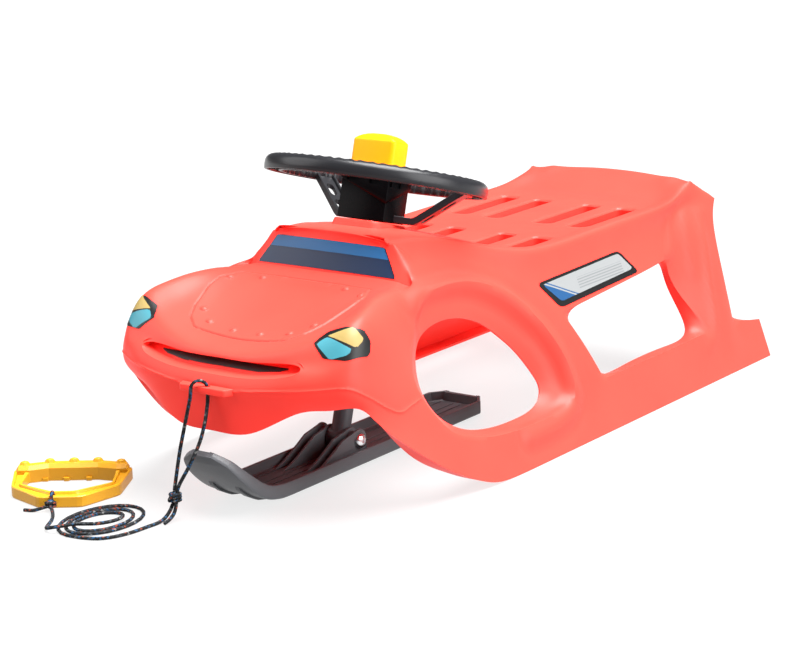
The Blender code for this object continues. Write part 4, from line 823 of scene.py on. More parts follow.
def fit_cage(cage, rounds, furthest=0.010):
    """Moves the cage, by no more than the furthest, so that the smoothed surface meets its first points."""
    wanted = [v.co.copy() for v in cage.data.vertices]
    for _ in range(rounds):
        bpy.context.view_layer.update()
        smooth = cage.evaluated_get(bpy.context.evaluated_depsgraph_get()).to_mesh()
        reached = [smooth.vertices[i].co.copy() for i in range(len(wanted))]
        for v, goal, now in zip(cage.data.vertices, wanted, reached):
            move = v.co + goal - now - goal
            v.co = goal + move * min(1.0, furthest / max(move.length, 1e-9))
            v.co.x = min(max(v.co.x, 0.0), FLOOR_HALF_WIDTH)
            v.co.y = min(v.co.y, HALF_LENGTH)
            v.co.z = max(v.co.z, 0.0)
        cage.data.update()


def mirrored(point):
    return Vector((-point[0], point[1], point[2]))


class Skin:
    """The smoothed outer skin, with ways to find a place on it and to shape it along lines."""

    def __init__(self, levels):
        cage = loose("cage", shell_cage())
        mirror = cage.modifiers.new("halves", "MIRROR")
        mirror.merge_threshold = 0.0001
        smooth = cage.modifiers.new("smooth", "SUBSURF")
        smooth.levels = levels
        smooth.render_levels = levels
        smooth.use_limit_surface = False
        fit_cage(cage, 4)
        self.bm = settle(cage)
        self.bm.normal_update()
        self.tree = BVHTree.FromBMesh(self.bm)

    def drape(self, points, step=0.0012):
        """A smooth line through points near the skin, moved onto it."""
        line = even_line(spline(points, 8), step)
        return [self.tree.find_nearest(p)[0] for p in line]

    def drop(self, x, y):
        """The skin's place straight below a point above the hood."""
        return self.tree.ray_cast(Vector((x, y, 0.5)), Vector((0, 0, -1)))[0]

    def refine(self, lines, reach, size):
        """Splits the edges near the lines until they are shorter than size."""
        finder = LineFinder(lines)
        for _ in range(4):
            edges = []
            for edge in self.bm.edges:
                length = edge.calc_length()
                middle = (edge.verts[0].co + edge.verts[1].co) / 2
                if length > size and finder.nearest(middle) < reach + length / 2:
                    edges.append(edge)
            if not edges:
                break
            bmesh.ops.subdivide_edges(self.bm, edges=edges, cuts=1, use_grid_fill=True)
        self.bm.normal_update()

    def shape(self, lines, reach, rise):
        """Moves the skin within reach of the lines along its normal by rise(distance, place)."""
        finder = LineFinder(lines)
        moves = []
        for v in self.bm.verts:
            distance = finder.nearest(v.co)
            if distance < reach:
                moves.append((v, v.normal * rise(distance, v.co)))
        for v, move in moves:
            v.co += move
        self.bm.normal_update()


class LineFinder:
    """Distance from a place to the nearest of several lines."""

    def __init__(self, lines):
        self.pieces = [(a, b) for line in lines for a, b in zip(line, line[1:])]
        self.pieces += [(line[0], line[0]) for line in lines if len(line) == 1]
        self.tree = KDTree(len(self.pieces))
        for i, (a, b) in enumerate(self.pieces):
            self.tree.insert((a + b) / 2, i)
        self.tree.balance()

    def nearest(self, place):
        _, first, rough = self.tree.find(place)
        if rough > 0.03:
            return rough
        least = rough
        for _, i, _ in self.tree.find_n(place, 3):
            a, b = self.pieces[i]
            span = (b - a).length_squared
            t = max(0.0, min(1.0, (place - a).dot(b - a) / span)) if span else 0.0
            least = min(least, (place - a.lerp(b, t)).length)
        return least


def bell(distance, width):
    return math.exp(-((distance / width) ** 2))


def inside(polygon, x, y):
    """Whether a place lies in a flat polygon."""
    within = False
    for (ax, ay), (bx, by) in zip(polygon, polygon[1:] + polygon[:1]):
        if (ay > y) != (by > y) and x < ax + (bx - ax) * (y - ay) / (by - ay):
            within = not within
    return within


def detail_shell(skin):
    """Broad ridges and flutes, then the fine lines of the hood and the fascia."""
    both = []
    for line in (ARCH_RIDGE, *PILLAR_FLUTES):
        draped = skin.drape(line, 0.004)
        both.append((draped, [mirrored(p) for p in draped]))
    skin.shape(both[0], 0.03, lambda d, p: 0.0034 * bell(d, 0.0095) - 0.0016 * bell(d - 0.021, 0.008))
    for k in (1, 2):
        skin.shape(both[k], 0.02, lambda d, p: 0.0024 * bell(d, 0.006))
    skin.shape(both[3], 0.02, lambda d, p: 0.0030 * bell(d, 0.0065))

    half = [skin.drop(x, y) for x, y in HOOD_PANEL]
    panel = []
    for a, b in zip(half, half[1:]):
        panel += [skin.tree.find_nearest(p)[0] for p in even_line([a, b], 0.0015)]
    panel = [panel, [mirrored(p) for p in panel]]
    seam = skin.drape(FASCIA_SEAM)
    seam = [seam, [mirrored(p) for p in seam]]
    rivets = [[skin.drop(sign * x, y)] for x, y in HOOD_RIVETS for sign in (1, -1)]
    skin.refine(panel, 0.0022, 0.0017)
    skin.refine(seam, 0.0016, 0.0017)
    skin.refine(rivets, 0.0058, 0.0014)
    polygon = [(x, y) for x, y in HOOD_PANEL]
    polygon += [(-x, y) for x, y in reversed(HOOD_PANEL)]

    def panel_rise(distance, place):
        sign = 1 if inside(polygon, place.x, place.y) else -1
        t = max(0.0, min(1.0, 0.5 + sign * distance / 0.0016))
        return 0.0013 * t * t * (3 - 2 * t) * max(0.0, 1 - distance / 0.02) - 0.0015 * bell(distance, 0.0011)

    skin.shape(panel, 0.02, panel_rise)
    skin.shape(seam, 0.003, lambda d, p: 0.0011 * bell(d, 0.0012))
    skin.shape(rivets, 0.0055, lambda d, p: 0.0024 * max(0.0, 1 - (d / 0.0050) ** 2) ** 0.6)


def slot_rings(x, y, length, steps):
    """Rings of one seat slot, each wider than the slot by a flare."""
    rings = []
    for flare, z in steps:
        outline = rounded_rectangle(SLOT_WIDTH / 2 + flare, length / 2 + flare, 0.0070 + flare)
        rings.append([(x + a, y + b, z) for a, b in outline])
    return rings


def slot_cutter():
    """All seat slots in one tool, each flared at its top so that the lip is rounded."""
    tool = bmesh.new()
    top = SEAT_HEIGHT
    steps = ((0.0, top - 0.03), (0.0, top - 0.0052), (0.0005, top - 0.0034), (0.0015, top - 0.0018),
             (0.0029, top - 0.0007), (0.0046, top + 0.0001), (0.0064, top + 0.0006), (0.012, top + 0.0034))
    for x in SLOT_COLUMNS:
        for y, length in SLOT_ROWS:
            pour(tool, stack(slot_rings(x, y, length, steps)))
    return tool


def slot_walls():
    """The short walls that hang below the seat round each slot."""
    walls = bmesh.new()
    high = SEAT_HEIGHT - WALL + 0.0008
    low = SEAT_HEIGHT - SLOT_DEPTH
    steps = ((0.0001, high), (0.0001, low), (0.0026, low), (0.0026, high))
    for x in SLOT_COLUMNS:
        for y, length in SLOT_ROWS:
            pour(walls, stack(slot_rings(x, y, length, steps), ring_closed=True))
    return walls


def film_patch(skin, outline, normal, lift, thickness):
    """A thin sheet over the skin, trimmed to a convex outline that is swept along the normal."""
    normal = Vector(normal).normalized()
    outline = [Vector(p) for p in outline]
    centre = sum(outline, Vector()) / len(outline)
    reach = max((p - centre).length for p in outline) + 0.02
    bm = skin.bm.copy()
    spare = []
    for face in bm.faces:
        gap = face.calc_center_median() - centre
        depth = gap.dot(normal)
        if (gap - depth * normal).length > reach or abs(depth) > 0.035 or face.normal.dot(normal) < 0.3:
            spare.append(face)
    bmesh.ops.delete(bm, geom=spare, context="FACES")
    for v in bm.verts:
        v.co += v.normal * lift
    for a, b in zip(outline, outline[1:] + outline[:1]):
        if (b - a).length < 1e-7:
            continue
        out = (b - a).cross(normal)
        if out.dot(a - centre) < 0:
            out.negate()
        geom = bm.verts[:] + bm.edges[:] + bm.faces[:]
        bmesh.ops.bisect_plane(bm, geom=geom, dist=1e-6, plane_co=a, plane_no=out, clear_outer=True)
    across = Vector((0, 1, 0)) if abs(normal.x) > 0.8 else Vector((1, 0, 0))
    across = (across - normal * across.dot(normal)).normalized()
    up = normal.cross(across)
    if up.z < 0:
        up.negate()
    spans = []
    for axis in (across, up):
        values = [(p - centre).dot(axis) for p in outline]
        spans.append((axis, min(values), max(values) - min(values)))
    uv = bm.loops.layers.uv.verify()
    for face in bm.faces:
        for loop in face.loops:
            loop[uv].uv = [((loop.vert.co - centre).dot(axis) - low) / size for axis, low, size in spans]
    bm.normal_update()
    bmesh.ops.solidify(bm, geom=bm.faces[:], thickness=-thickness)
    return bm


def shrunk(outline, margin):
    """A flat outline drawn in towards its middle by a margin."""
    outline = [Vector(p) for p in outline]
    centre = sum(outline, Vector()) / len(outline)
    return [p + (centre - p).normalized() * min(margin, (centre - p).length * 0.9) for p in outline]


def cut_back(outline, point, direction):
    """The part of a convex flat outline on the far side of a line through a point."""
    kept = []
    outline = [Vector(p) for p in outline]
    for a, b in zip(outline, outline[1:] + outline[:1]):
        da, db = (a - point).dot(direction), (b - point).dot(direction)
        if da >= 0:
            kept.append(a)
        if da * db < 0:
            kept.append(a.lerp(b, da / (da - db)))
    return kept


def rope_tube(line, radius=ROPE_RADIUS, step=0.0008, sides=16, start=0.0):
    """A braided rope along a line, with the strands' relief in its surface and its length as UV."""
    line = even_line(line, step)
    rings = []
    marks = []
    across = None
    travelled = start
    for i, place in enumerate(line):
        along = direction_at(line, i)
        if across is None:
            across = along.orthogonal()
        across = (across - along * across.dot(along)).normalized()
        other = along.cross(across)
        ring = []
        for t in around(sides):
            weave = math.cos(4 * t + travelled * 1440) * math.cos(4 * t - travelled * 1440)
            r = radius - 0.00014 + 0.00014 * weave
            ring.append(place + r * (across * math.cos(t) + other * math.sin(t)))
        if i in (0, len(line) - 1):
            ring = [place + (p - place) * 0.8 for p in ring]
        rings.append(ring)
        marks.append(travelled)
        if i + 1 < len(line):
            travelled += (line[i + 1] - place).length
    return stack(rings, marks=marks), line


def ring_line(centre, x_axis, y_axis, half_x, half_y, start=0.0, turns=1.0, count=40, rise=(0, 0, 0)):
    """Points along an ellipse, rising along it when asked."""
    x_axis = Vector(x_axis).normalized()
    y_axis = Vector(y_axis).normalized()
    points = []
    for i in range(count + 1):
        t = math.radians(start) + 2 * math.pi * turns * i / count
        points.append(Vector(centre) + x_axis * half_x * math.cos(t) + y_axis * half_y * math.sin(t)
                      + Vector(rise) * (i / count))
    return points


def pour_neck(bm, end, before, middle, far):
    """Adds a short straight rope that runs on from a strand's end into a knot."""
    end = Vector(end)
    along = (end - Vector(before)).normalized()
    pour(bm, rope_tube([end + along * reach for reach in (0.0002, middle, far)])[0])


def handle_point(a, b, z):
    """A point of the handle's own frame, a along the grip and b towards the rope."""
    ca, sa = math.cos(HANDLE_TURN), math.sin(HANDLE_TURN)
    x, y, _ = HANDLE_CENTRE
    return Vector((x + a * ca + b * sa, y + a * sa - b * ca, z))


def coil_line():
    """Three shrinking loops on the snow, 24 points to a loop."""
    line = []
    count = 72
    for i in range(0, count - 1):
        share = i / count
        turn = 2 * math.pi * 3 * share
        x = LOOP_CENTRES[0][0] + (LOOP_CENTRES[1][0] - LOOP_CENTRES[0][0]) * share
        y = LOOP_CENTRES[0][1] + (LOOP_CENTRES[1][1] - LOOP_CENTRES[0][1]) * share
        w = LOOP_WIDTHS[0] + (LOOP_WIDTHS[1] - LOOP_WIDTHS[0]) * share
        d = LOOP_DEPTHS[0] + (LOOP_DEPTHS[1] - LOOP_DEPTHS[0]) * share
        rise = min(1.0, max(0.0, (i - 58) / 12))
        z = ROPE_RADIUS + 0.0001 + 0.0054 * rise * rise * (3 - 2 * rise)
        line.append(Vector((x - w * math.sin(turn), y - d * math.cos(turn), z)))
    return line


def bridle_line():
    """From the knot up over the ledge, through its hole and down to the knot."""
    start = Vector(STRAND_UP[-1])
    end = Vector((ROPE_HOLE_X, ROPE_HOLE_Y, LEDGE_TOP - 0.0025))
    middle = (start + end) / 2
    middle.z = end.z
    half = Vector((end.x - middle.x, end.y - middle.y, 0))
    arch = []
    for k in range(13):
        t = math.radians(180 - 180 * k / 12)
        arch.append(middle + half * math.cos(t) + Vector((0, 0, half.length * math.sin(t))))
    return spline(STRAND_UP, 6)[:-1] + arch + spline(STRAND_DOWN, 6)


def tow_line():
    """From the knot to the snow, round the coil and out to the handle's knot."""
    lead = spline(LEAD, 3)
    coil = coil_line()
    out = spline([coil[-1]] + [Vector(p) for p in COIL_OUT], 3)[1:]
    link = spline([lead[-2], lead[-1], coil[0], coil[1]], 2)[3:4]
    return lead + link + coil + out


class SledColours(bpy.types.PropertyGroup):
    """Colours of the sled's materials."""

    shell: FloatVectorProperty(name="Shell", description="Moulded shell", subtype="COLOR", size=3,
                               min=0.0, max=1.0, default=(0.86, 0.041, 0.029))
    shell_deep: FloatVectorProperty(name="Shell drift", description="Darker drift in the shell",
                                    subtype="COLOR", size=3, min=0.0, max=1.0, default=(0.80, 0.030, 0.022))
    dark: FloatVectorProperty(name="Dark plastic", description="Column and retaining ring",
                              subtype="COLOR", size=3, min=0.0, max=1.0, default=(0.030, 0.031, 0.035))
    horn: FloatVectorProperty(name="Horn", description="Horn button", subtype="COLOR", size=3,
                              min=0.0, max=1.0, default=(0.90, 0.32, 0.005))
    handle: FloatVectorProperty(name="Handle", description="Tow handle", subtype="COLOR", size=3,
                                min=0.0, max=1.0, default=(0.46, 0.220, 0.008))


class SledSizes(bpy.types.PropertyGroup):
    """Sizes that change the fineness of the model."""

    shell_levels: IntProperty(name="Shell smoothing", description="Subdivisions of the shell's cage",
                              default=3, min=1, max=4)
    rope_step: FloatProperty(name="Rope step", description="Distance between the rope's rings",
                             default=0.0008, min=0.0004, max=0.004, unit="LENGTH")
    film_thickness: FloatProperty(name="Film thickness", description="Thickness of the printed films",
                                  default=0.0005, min=0.0002, max=0.001, unit="LENGTH")


def colours():
    return bpy.context.scene.sled_colours


def sizes():
    return bpy.context.scene.sled_sizes


kept = {}


def material(name):
    """Each material is made once, the first time that a piece asks for it."""
    if name not in kept:
        kept[name] = make_material(name)
    return kept[name]


# Moulded plastics: colour and its drift, or the names of their settings; roughness, grain and its depth,
# specular level
PLASTICS = {
    "shell": ("shell", "shell_deep", 0.40, 620.0, 0.00005, 0.12),
    "dark": ("dark", (0.038, 0.039, 0.044), 0.42, 900.0, 0.00007, 0.25),
    "gloss": ((0.0010, 0.0010, 0.0012), (0.002, 0.002, 0.0024), 0.28, 300.0, 0.00003, 0.03),
    "wheel": ((0.0085, 0.0087, 0.0100), (0.012, 0.012, 0.014), 0.30, 700.0, 0.00006, 0.2),
    "ski": ((0.050, 0.052, 0.057), (0.060, 0.062, 0.068), 0.42, 900.0, 0.00007, 0.3),
    "horn": ("horn", (0.88, 0.28, 0.004), 0.30, 300.0, 0.00003, 0.06),
    "handle": ("handle", (0.41, 0.185, 0.006), 0.36, 500.0, 0.00005, 0.25),
    "rubber": ((0.02, 0.02, 0.022), (0.03, 0.03, 0.033), 0.65, 700.0, 0.00006, 0.5),
    "bush": ((0.3, 0.3, 0.29), (0.26, 0.26, 0.25), 0.35, 700.0, 0.00006, 0.5),
}

# Printed films: the two tones
FILMS = {
    "screen": ((0.0035, 0.011, 0.033), (0.005, 0.016, 0.045)),
    "sky": ((0.0070, 0.066, 0.175), (0.009, 0.076, 0.195)),
    "border": ((0.0015, 0.0015, 0.0016), (0.0025, 0.0025, 0.0027)),
    "amber": ((0.20, 0.13, 0.035), (0.22, 0.165, 0.055)),
    "clear": ((0.022, 0.130, 0.165), (0.03, 0.155, 0.19)),
    "grille": ((0.002, 0.002, 0.0022), (0.003, 0.003, 0.0033)),
}


def tint(value):
    """A colour as it stands, or the setting that a name stands for."""
    return getattr(colours(), value) if isinstance(value, str) else value


def make_material(name):
    if name in PLASTICS:
        colour, deep, roughness, grain, depth, specular = PLASTICS[name]
        return moulded(f"sled_{name}", tint(colour), tint(deep), roughness, grain, depth, specular)
    if name in FILMS:
        return film(f"sled_{name}", *FILMS[name])
    if name == "steel":
        return brushed("bright_steel", 0.24)
    return braided() if name == "rope" else label_print()


class SLED_OT_shell(bpy.types.Operator):
    """Moulded shell with its slots, collar, steering tube, rope ledge and films"""

    bl_idname = "sled.shell"
    bl_label = "Shell"

    def execute(self, context):
        skin = Skin(sizes().shell_levels)
        detail_shell(skin)
        self.films(skin)
        shell = loose("shell_skin", skin.bm)
        wall = shell.modifiers.new("wall", "SOLIDIFY")
        wall.thickness = WALL
        wall.offset = -1
        wall.use_even_offset = False
        bm = carve(settle(shell), [("DIFFERENCE", slot_cutter())])
        piece("shell_body", bm, material("shell"), "sled", ["shell"], 38.0)
        piece("slot_walls", slot_walls(), material("shell"), "sled")
        self.collar()
        self.tube()
        self.ledge()
        for name in ("column_bush_upper", "column_bush_lower"):
            dress(name, "bush")
        return {"FINISHED"}

    def collar(self):
        """The square boss on the roof, flared where it meets the skin, with the column's bore."""
        foot = COLLAR_TOP - COLLAR_HEIGHT
        rings = []
        for flare, height in ((0.016, foot - 0.004), (0.0098, foot + 0.0015), (0.0058, foot + 0.0060),
                              (0.0038, foot + 0.0105), (0.0026, foot + 0.0150),
                              (0.0016, COLLAR_TOP - 0.0016), (0.0009, COLLAR_TOP - 0.0005),
                              (-0.0004, COLLAR_TOP)):
            half = COLLAR_HALF_WIDTH + flare
            rings.append([(x, y, height) for x, y in rounded_rectangle(half, half, 0.011 + max(0.0, flare))])
        bore = rod((0, 0, foot - 0.02), (0, 0, 0.02), TUBE_BORE, 48)
        bm = stand_on_column(carve(stack(rings), [("DIFFERENCE", bore)]))
        piece("shell_collar", bm, material("shell"), "sled")

    def tube(self):
        """The tube under the roof that holds the bushes, with its two fins."""
        low = COLLAR_TOP - TUBE_LENGTH
        high = COLLAR_TOP - 0.010
        outer = TUBE_BORE + TUBE_WALL
        profile = ((TUBE_BORE, low), (outer - 0.0008, low), (outer, low + 0.0008), (outer, high),
                   (TUBE_BORE, high))
        bm = stand_on_column(lathe(profile))
        for sign in (-1, 1):
            inner = sign * (outer - 0.001)
            profile = ((inner, 0.281), (sign * 0.062, 0.281), (sign * 0.060, 0.262), (inner, 0.205))
            pour(bm, prism([(x, -0.1585, z) for x, z in profile], (0, 0.003, 0)))
        piece("steering_tube", bm, material("shell"), "sled")

    def ledge(self):
        """The ledge under the nose that the rope hangs from."""
        root = LEDGE_HALF_WIDTH + 0.006
        corners = [(-root, -0.4650), (-LEDGE_HALF_WIDTH, LEDGE_FRONT), (LEDGE_HALF_WIDTH, LEDGE_FRONT),
                   (root, -0.4650)]
        low = LEDGE_TOP - LEDGE_THICKNESS
        outline = rounded_outline([(x, y, low) for x, y in corners], 0.003, 4)
        bm = prism(outline, (0, 0, LEDGE_THICKNESS))
        rims = [e for e in bm.edges if abs(e.verts[0].co.z - e.verts[1].co.z) < 1e-6]
        bevel_edges(bm, rims, 0.0011)
        place = Vector((ROPE_HOLE_X, ROPE_HOLE_Y, low))
        hole = rod(place - Vector((0, 0, 0.004)), place + Vector((0, 0, 0.012)), ROPE_HOLE_RADIUS, 32)
        piece("rope_ledge", carve(bm, [("DIFFERENCE", hole)]), material("shell"), "sled")

    def films(self, skin):
        """Windscreen, grille, headlamps and side labels."""
        thick = sizes().film_thickness
        base, face = (GAP, thick * 0.5), (GAP + thick * 0.6, thick * 0.4)
        screen = rounded_outline([(x, SCREEN_Y, z) for x, z in SCREEN], 0.004)
        bm = film_patch(skin, screen, SCREEN_NORMAL, *base)
        piece("windscreen_border", bm, material("border"), "sled", ["windscreen_decal"])
        inner = shrunk(screen, 0.0013)
        bm = film_patch(skin, inner, SCREEN_NORMAL, *face)
        piece("windscreen_tint", bm, material("screen"), "sled")
        band = cut_back(inner, Vector((0, SCREEN_Y, BAND_HEIGHT)), Vector((0, 0, 1)))
        bm = film_patch(skin, band, SCREEN_NORMAL, GAP + thick * 1.1, thick * 0.3)
        piece("windscreen_band", bm, material("sky"), "sled")
        mouth = rounded_outline([(x, MOUTH_Y, z) for x, z in MOUTH], 0.003)
        bm = film_patch(skin, mouth, MOUTH_NORMAL, GAP, thick)
        piece("grille_film", bm, material("grille"), "sled", ["grille_decal"])
        for side, sign in (("left", 1), ("right", -1)):
            lamps = (("bezel", "border", LAMP, 0.005, base), ("amber", "amber", AMBER_LENS, 0.0045, face),
                     ("clear", "clear", CLEAR_LENS, 0.0045, face))
            normal = (sign * LAMP_NORMAL[0], *LAMP_NORMAL[1:])
            for name, finish, corners, radius, lift in lamps:
                outline = rounded_outline([(sign * side_x(z, out), y, z) for out, y, z in corners], radius)
                replaced = [f"headlamp_decal_{side}"] if name == "bezel" else ()
                bm = film_patch(skin, outline, normal, *lift)
                piece(f"headlamp_{name}_{side}", bm, material(finish), "sled", replaced)
            labels = (("border", "border", LABEL_BORDER, 0.010, base),
                      ("field", "label", LABEL_FIELD, 0.007, face))
            for name, finish, corners, radius, lift in labels:
                outline = rounded_outline([(sign * side_x(z), y, z) for y, z in corners], radius)
                replaced = [f"side_label_{side}"] if name == "border" else ()
                bm = film_patch(skin, outline, (sign, 0, SIDE_LEAN), *lift)
                piece(f"label_{name}_{side}", bm, material(finish), "sled", replaced)


def dress(name, finish):
    """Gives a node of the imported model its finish."""
    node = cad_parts[name]
    node.data.materials.clear()
    node.data.materials.append(material(finish))


class SLED_OT_wheel(bpy.types.Operator):
    """Steering wheel with its waved rim, drop arms and boxed hub"""

    bl_idname = "sled.wheel"
    bl_label = "Steering wheel"

    def execute(self, context):
        bm = self.rim()
        for sign in (1, -1):
            arm = carve(self.arm(sign), [("DIFFERENCE", self.arm_holes(sign))])
            pour(bm, arm, Matrix.Rotation(sign * ARM_TURN, 4, "Z"))
        piece("wheel_rim_and_arms", stand_on_column(bm), material("wheel"), "steering",
              ["steering_wheel"], 40.0)
        hub = stand_on_column(self.hub())
        piece("wheel_hub", hub, material("gloss"), "steering", (), 30.0)
        dress("wheel_washer", "steel")
        dress("wheel_bolt", "steel")
        return {"FINISHED"}

    def rim(self):
        """The rim's section all round: closed and waved above, an open ribbed channel below."""
        rings = []
        per_cell = 14
        rib = {0, 1}
        for cell in range(RIM_CELLS):
            for k in range(per_cell):
                share = k / per_cell
                turn = 2 * math.pi * (cell + share) / RIM_CELLS
                lobe = math.cos(2 * math.pi * share)
                wave = 0.0026 * (1 - abs(lobe) ** 3 if lobe < 0 else 0.4 + 0.6 * (1 - lobe)) - 0.0012
                ceiling = -0.0078 if k in rib else 0.0036
                section = [(0.0104, -0.0095), (0.0110, -0.0088), (0.0114, -0.0040), (0.0112, 0.0012),
                           (0.0100, 0.0050), (0.0078, 0.0076), (0.0046, 0.0092 + wave * 0.3),
                           (0.0004, 0.0098 + wave * 0.6), (-0.0042 - wave * 0.6, 0.0090 + wave * 0.8),
                           (-0.0080 - wave, 0.0062 + wave * 0.6), (-0.0102 - wave, 0.0020),
                           (-0.0108 - wave, -0.0040), (-0.0106 - wave, -0.0088), (-0.0100 - wave, -0.0095),
                           (-0.0074, -0.0095), (-0.0071, -0.0085), (-0.0073, ceiling), (0.0064, ceiling),
                           (0.0076, -0.0085), (0.0078, -0.0095)]
                x, y = math.cos(turn), math.sin(turn)
                rings.append([((RIM_RADIUS + out) * x, (RIM_RADIUS + out) * y, height)
                              for out, height in section])
        return stack(rings, ring_closed=True)

    def arm(self, sign):
        """A channel open towards the driver, along a bent line from the hub to the rim."""
        route = ((0.026, 0, -0.0542), (0.044, 0, -0.0542), (0.0565, 0, -0.0541), (0.064, 0, -0.0508),
                 (0.073, 0, -0.0440), (0.090, 0, -0.0306), (0.108, 0, -0.0165), (0.1188, 0, -0.0085))
        line = spline(route, 5)
        w = ARM_HALF_WIDTH
        section = [(0.0007 - w, 0.0), (w - 0.0007, 0.0), (w, 0.0007), (w, 0.0080), (w - 0.0006, 0.0086),
                   (w - 0.0024, 0.0086), (w - 0.0030, 0.0080), (w - 0.0032, 0.0046), (0.0032 - w, 0.0046),
                   (0.0030 - w, 0.0080), (0.0024 - w, 0.0086), (0.0006 - w, 0.0086), (-w, 0.0080),
                   (-w, 0.0007)]
        rings = []
        for i, place in enumerate(line):
            along = direction_at(line, i)
            up = Vector((-along.z, 0, along.x))
            rings.append([(sign * (place + up * h).x, y, (place + up * h).z) for y, h in section])
        return stack(rings)

    def arm_holes(self, sign):
        holes = bmesh.new()
        for centre, half in ((0.0725, 0.0080), (0.0960, 0.0090)):
            outline = [(sign * centre + a, b, -0.060) for a, b in rounded_rectangle(half, 0.0050, 0.0048)]
            pour(holes, prism(outline, (0, 0, 0.058)))
        return holes

    def hub(self):
        """A box whose upper part swells out, with small windows and a well for the horn."""
        lower = Vector((HUB_HALF_X - 0.0017, HUB_HALF_Y - 0.0022))
        upper = Vector((HUB_HALF_X, HUB_HALF_Y))
        foot = lower - Vector((0.0006, 0.0006))
        corners = [HUB_SWELL[i // 3] for i in range(12)]
        levels = [(foot, [HUB_BOTTOM] * 12), (lower, [HUB_BOTTOM + 0.0008] * 12)]
        for swell, rise in ((0.0, 0.0), (0.40, 0.10), (0.72, 0.32), (0.93, 0.65), (1.0, 1.0)):
            levels.append((lower.lerp(upper, swell), [low + (high - low) * rise for low, high in corners]))
        levels += [(upper, [HUB_TOP - 0.0006] * 12), (lower.lerp(upper, 0.75), [HUB_TOP] * 12)]
        rings = []
        for half, heights in levels:
            outline = rounded_rectangle(half.x, half.y, 0.0016, 2)
            rings.append([(a, b, height) for (a, b), height in zip(outline, heights)])
        inner = rounded_rectangle(HUB_HALF_X - HUB_WALL, HUB_HALF_Y - HUB_WALL, 0.006)
        well = prism([(a, b, HUB_BOTTOM + HUB_FLOOR) for a, b in inner], (0, 0, 0.07))
        socket = rod((0, 0, HUB_BOTTOM - 0.005), (0, 0, 0), 0.009, 6)
        windows = bmesh.new()
        for low, high, bottom in ((0.0080, 0.0265, -0.0105), (-0.0265, -0.0080, -0.0085)):
            corners = [(low, -0.03, bottom), (high, -0.03, bottom), (high, -0.03, -0.0034),
                       (low, -0.03, -0.0034)]
            pour(windows, prism(corners, (0, 0.0074, 0)))
        for sign in (1, -1):
            for low, high in ((-0.0228, -0.0165), (-0.0140, 0.0020)):
                corners = [(sign * 0.045, low, -0.0122), (sign * 0.045, high, -0.0122),
                           (sign * 0.045, high, -0.0034), (sign * 0.045, low, -0.0034)]
                pour(windows, prism(corners, (-sign * 0.0100, 0, 0)))
        return carve(stack(rings), [("DIFFERENCE", well), ("DIFFERENCE", socket), ("DIFFERENCE", windows)])


class SLED_OT_horn(bpy.types.Operator):
    """Squeeze horn: the yellow button and the rubber bulb under it"""

    bl_idname = "sled.horn"
    bl_label = "Horn"

    def execute(self, context):
        rings = []
        crown = ((1.0, HORN_BOTTOM), (1.0, 0.030), (1.0, 0.0415), (0.996, 0.0430), (0.984, 0.0440),
                 (0.955, 0.0450), (0.900, 0.0464), (0.820, 0.0480), (0.700, 0.0498), (0.540, 0.0514),
                 (0.360, 0.0525), (0.150, HORN_TOP))
        for share, height in crown:
            outline = rounded_rectangle(HORN_HALF_X, HORN_HALF_Y, 0.0062, 5)
            rings.append([(a * share, b * share, height) for a, b in outline])
        inner = rounded_rectangle(HORN_HALF_X - 0.0025, HORN_HALF_Y - 0.0025, 0.004)
        hollow = stack([[(a * k, b * k, h) for a, b in inner]
                        for k, h in ((1, HORN_BOTTOM - 0.01), (1, 0.0415), (0.8, 0.047))])
        bm = stand_on_column(carve(stack(rings), [("DIFFERENCE", hollow)]))
        piece("horn_cap", bm, material("horn"), "horn", ["horn_button"], 50.0)
        dress("horn_bulb", "rubber")
        return {"FINISHED"}


class SLED_OT_column(bpy.types.Operator):
    """Steering column with its eye, retaining ring and pin"""

    bl_idname = "sled.column"
    bl_label = "Column"

    def execute(self, context):
        pivot = pivot_point()
        length = (Vector(WHEEL_CENTRE) - pivot).length
        shaft = stand_on_column(rod((0, 0, -length), (0, 0, HUB_BOTTOM - 0.0005), COLUMN_RADIUS, 64))
        eye = rod(pivot - Vector((0.012, 0, 0)), pivot + Vector((0.012, 0, 0)), 0.0135, 64, bevel=0.0006)
        hole = rod(pivot - Vector((0.02, 0, 0)), pivot + Vector((0.02, 0, 0)), BOLT_RADIUS + GAP, 32)
        low = COLLAR_TOP - TUBE_LENGTH - 0.0085
        pin = stand_on_column(rod((-0.03, 0, low + 0.00375), (0.03, 0, low + 0.00375), 0.0023, 24))
        bm = carve(shaft, [("UNION", eye), ("DIFFERENCE", hole), ("DIFFERENCE", pin)])
        piece("column_shaft", bm, material("dark"), "steering", ["steering_column"])
        dress("retaining_ring", "dark")
        dress("retaining_pin", "steel")
        return {"FINISHED"}


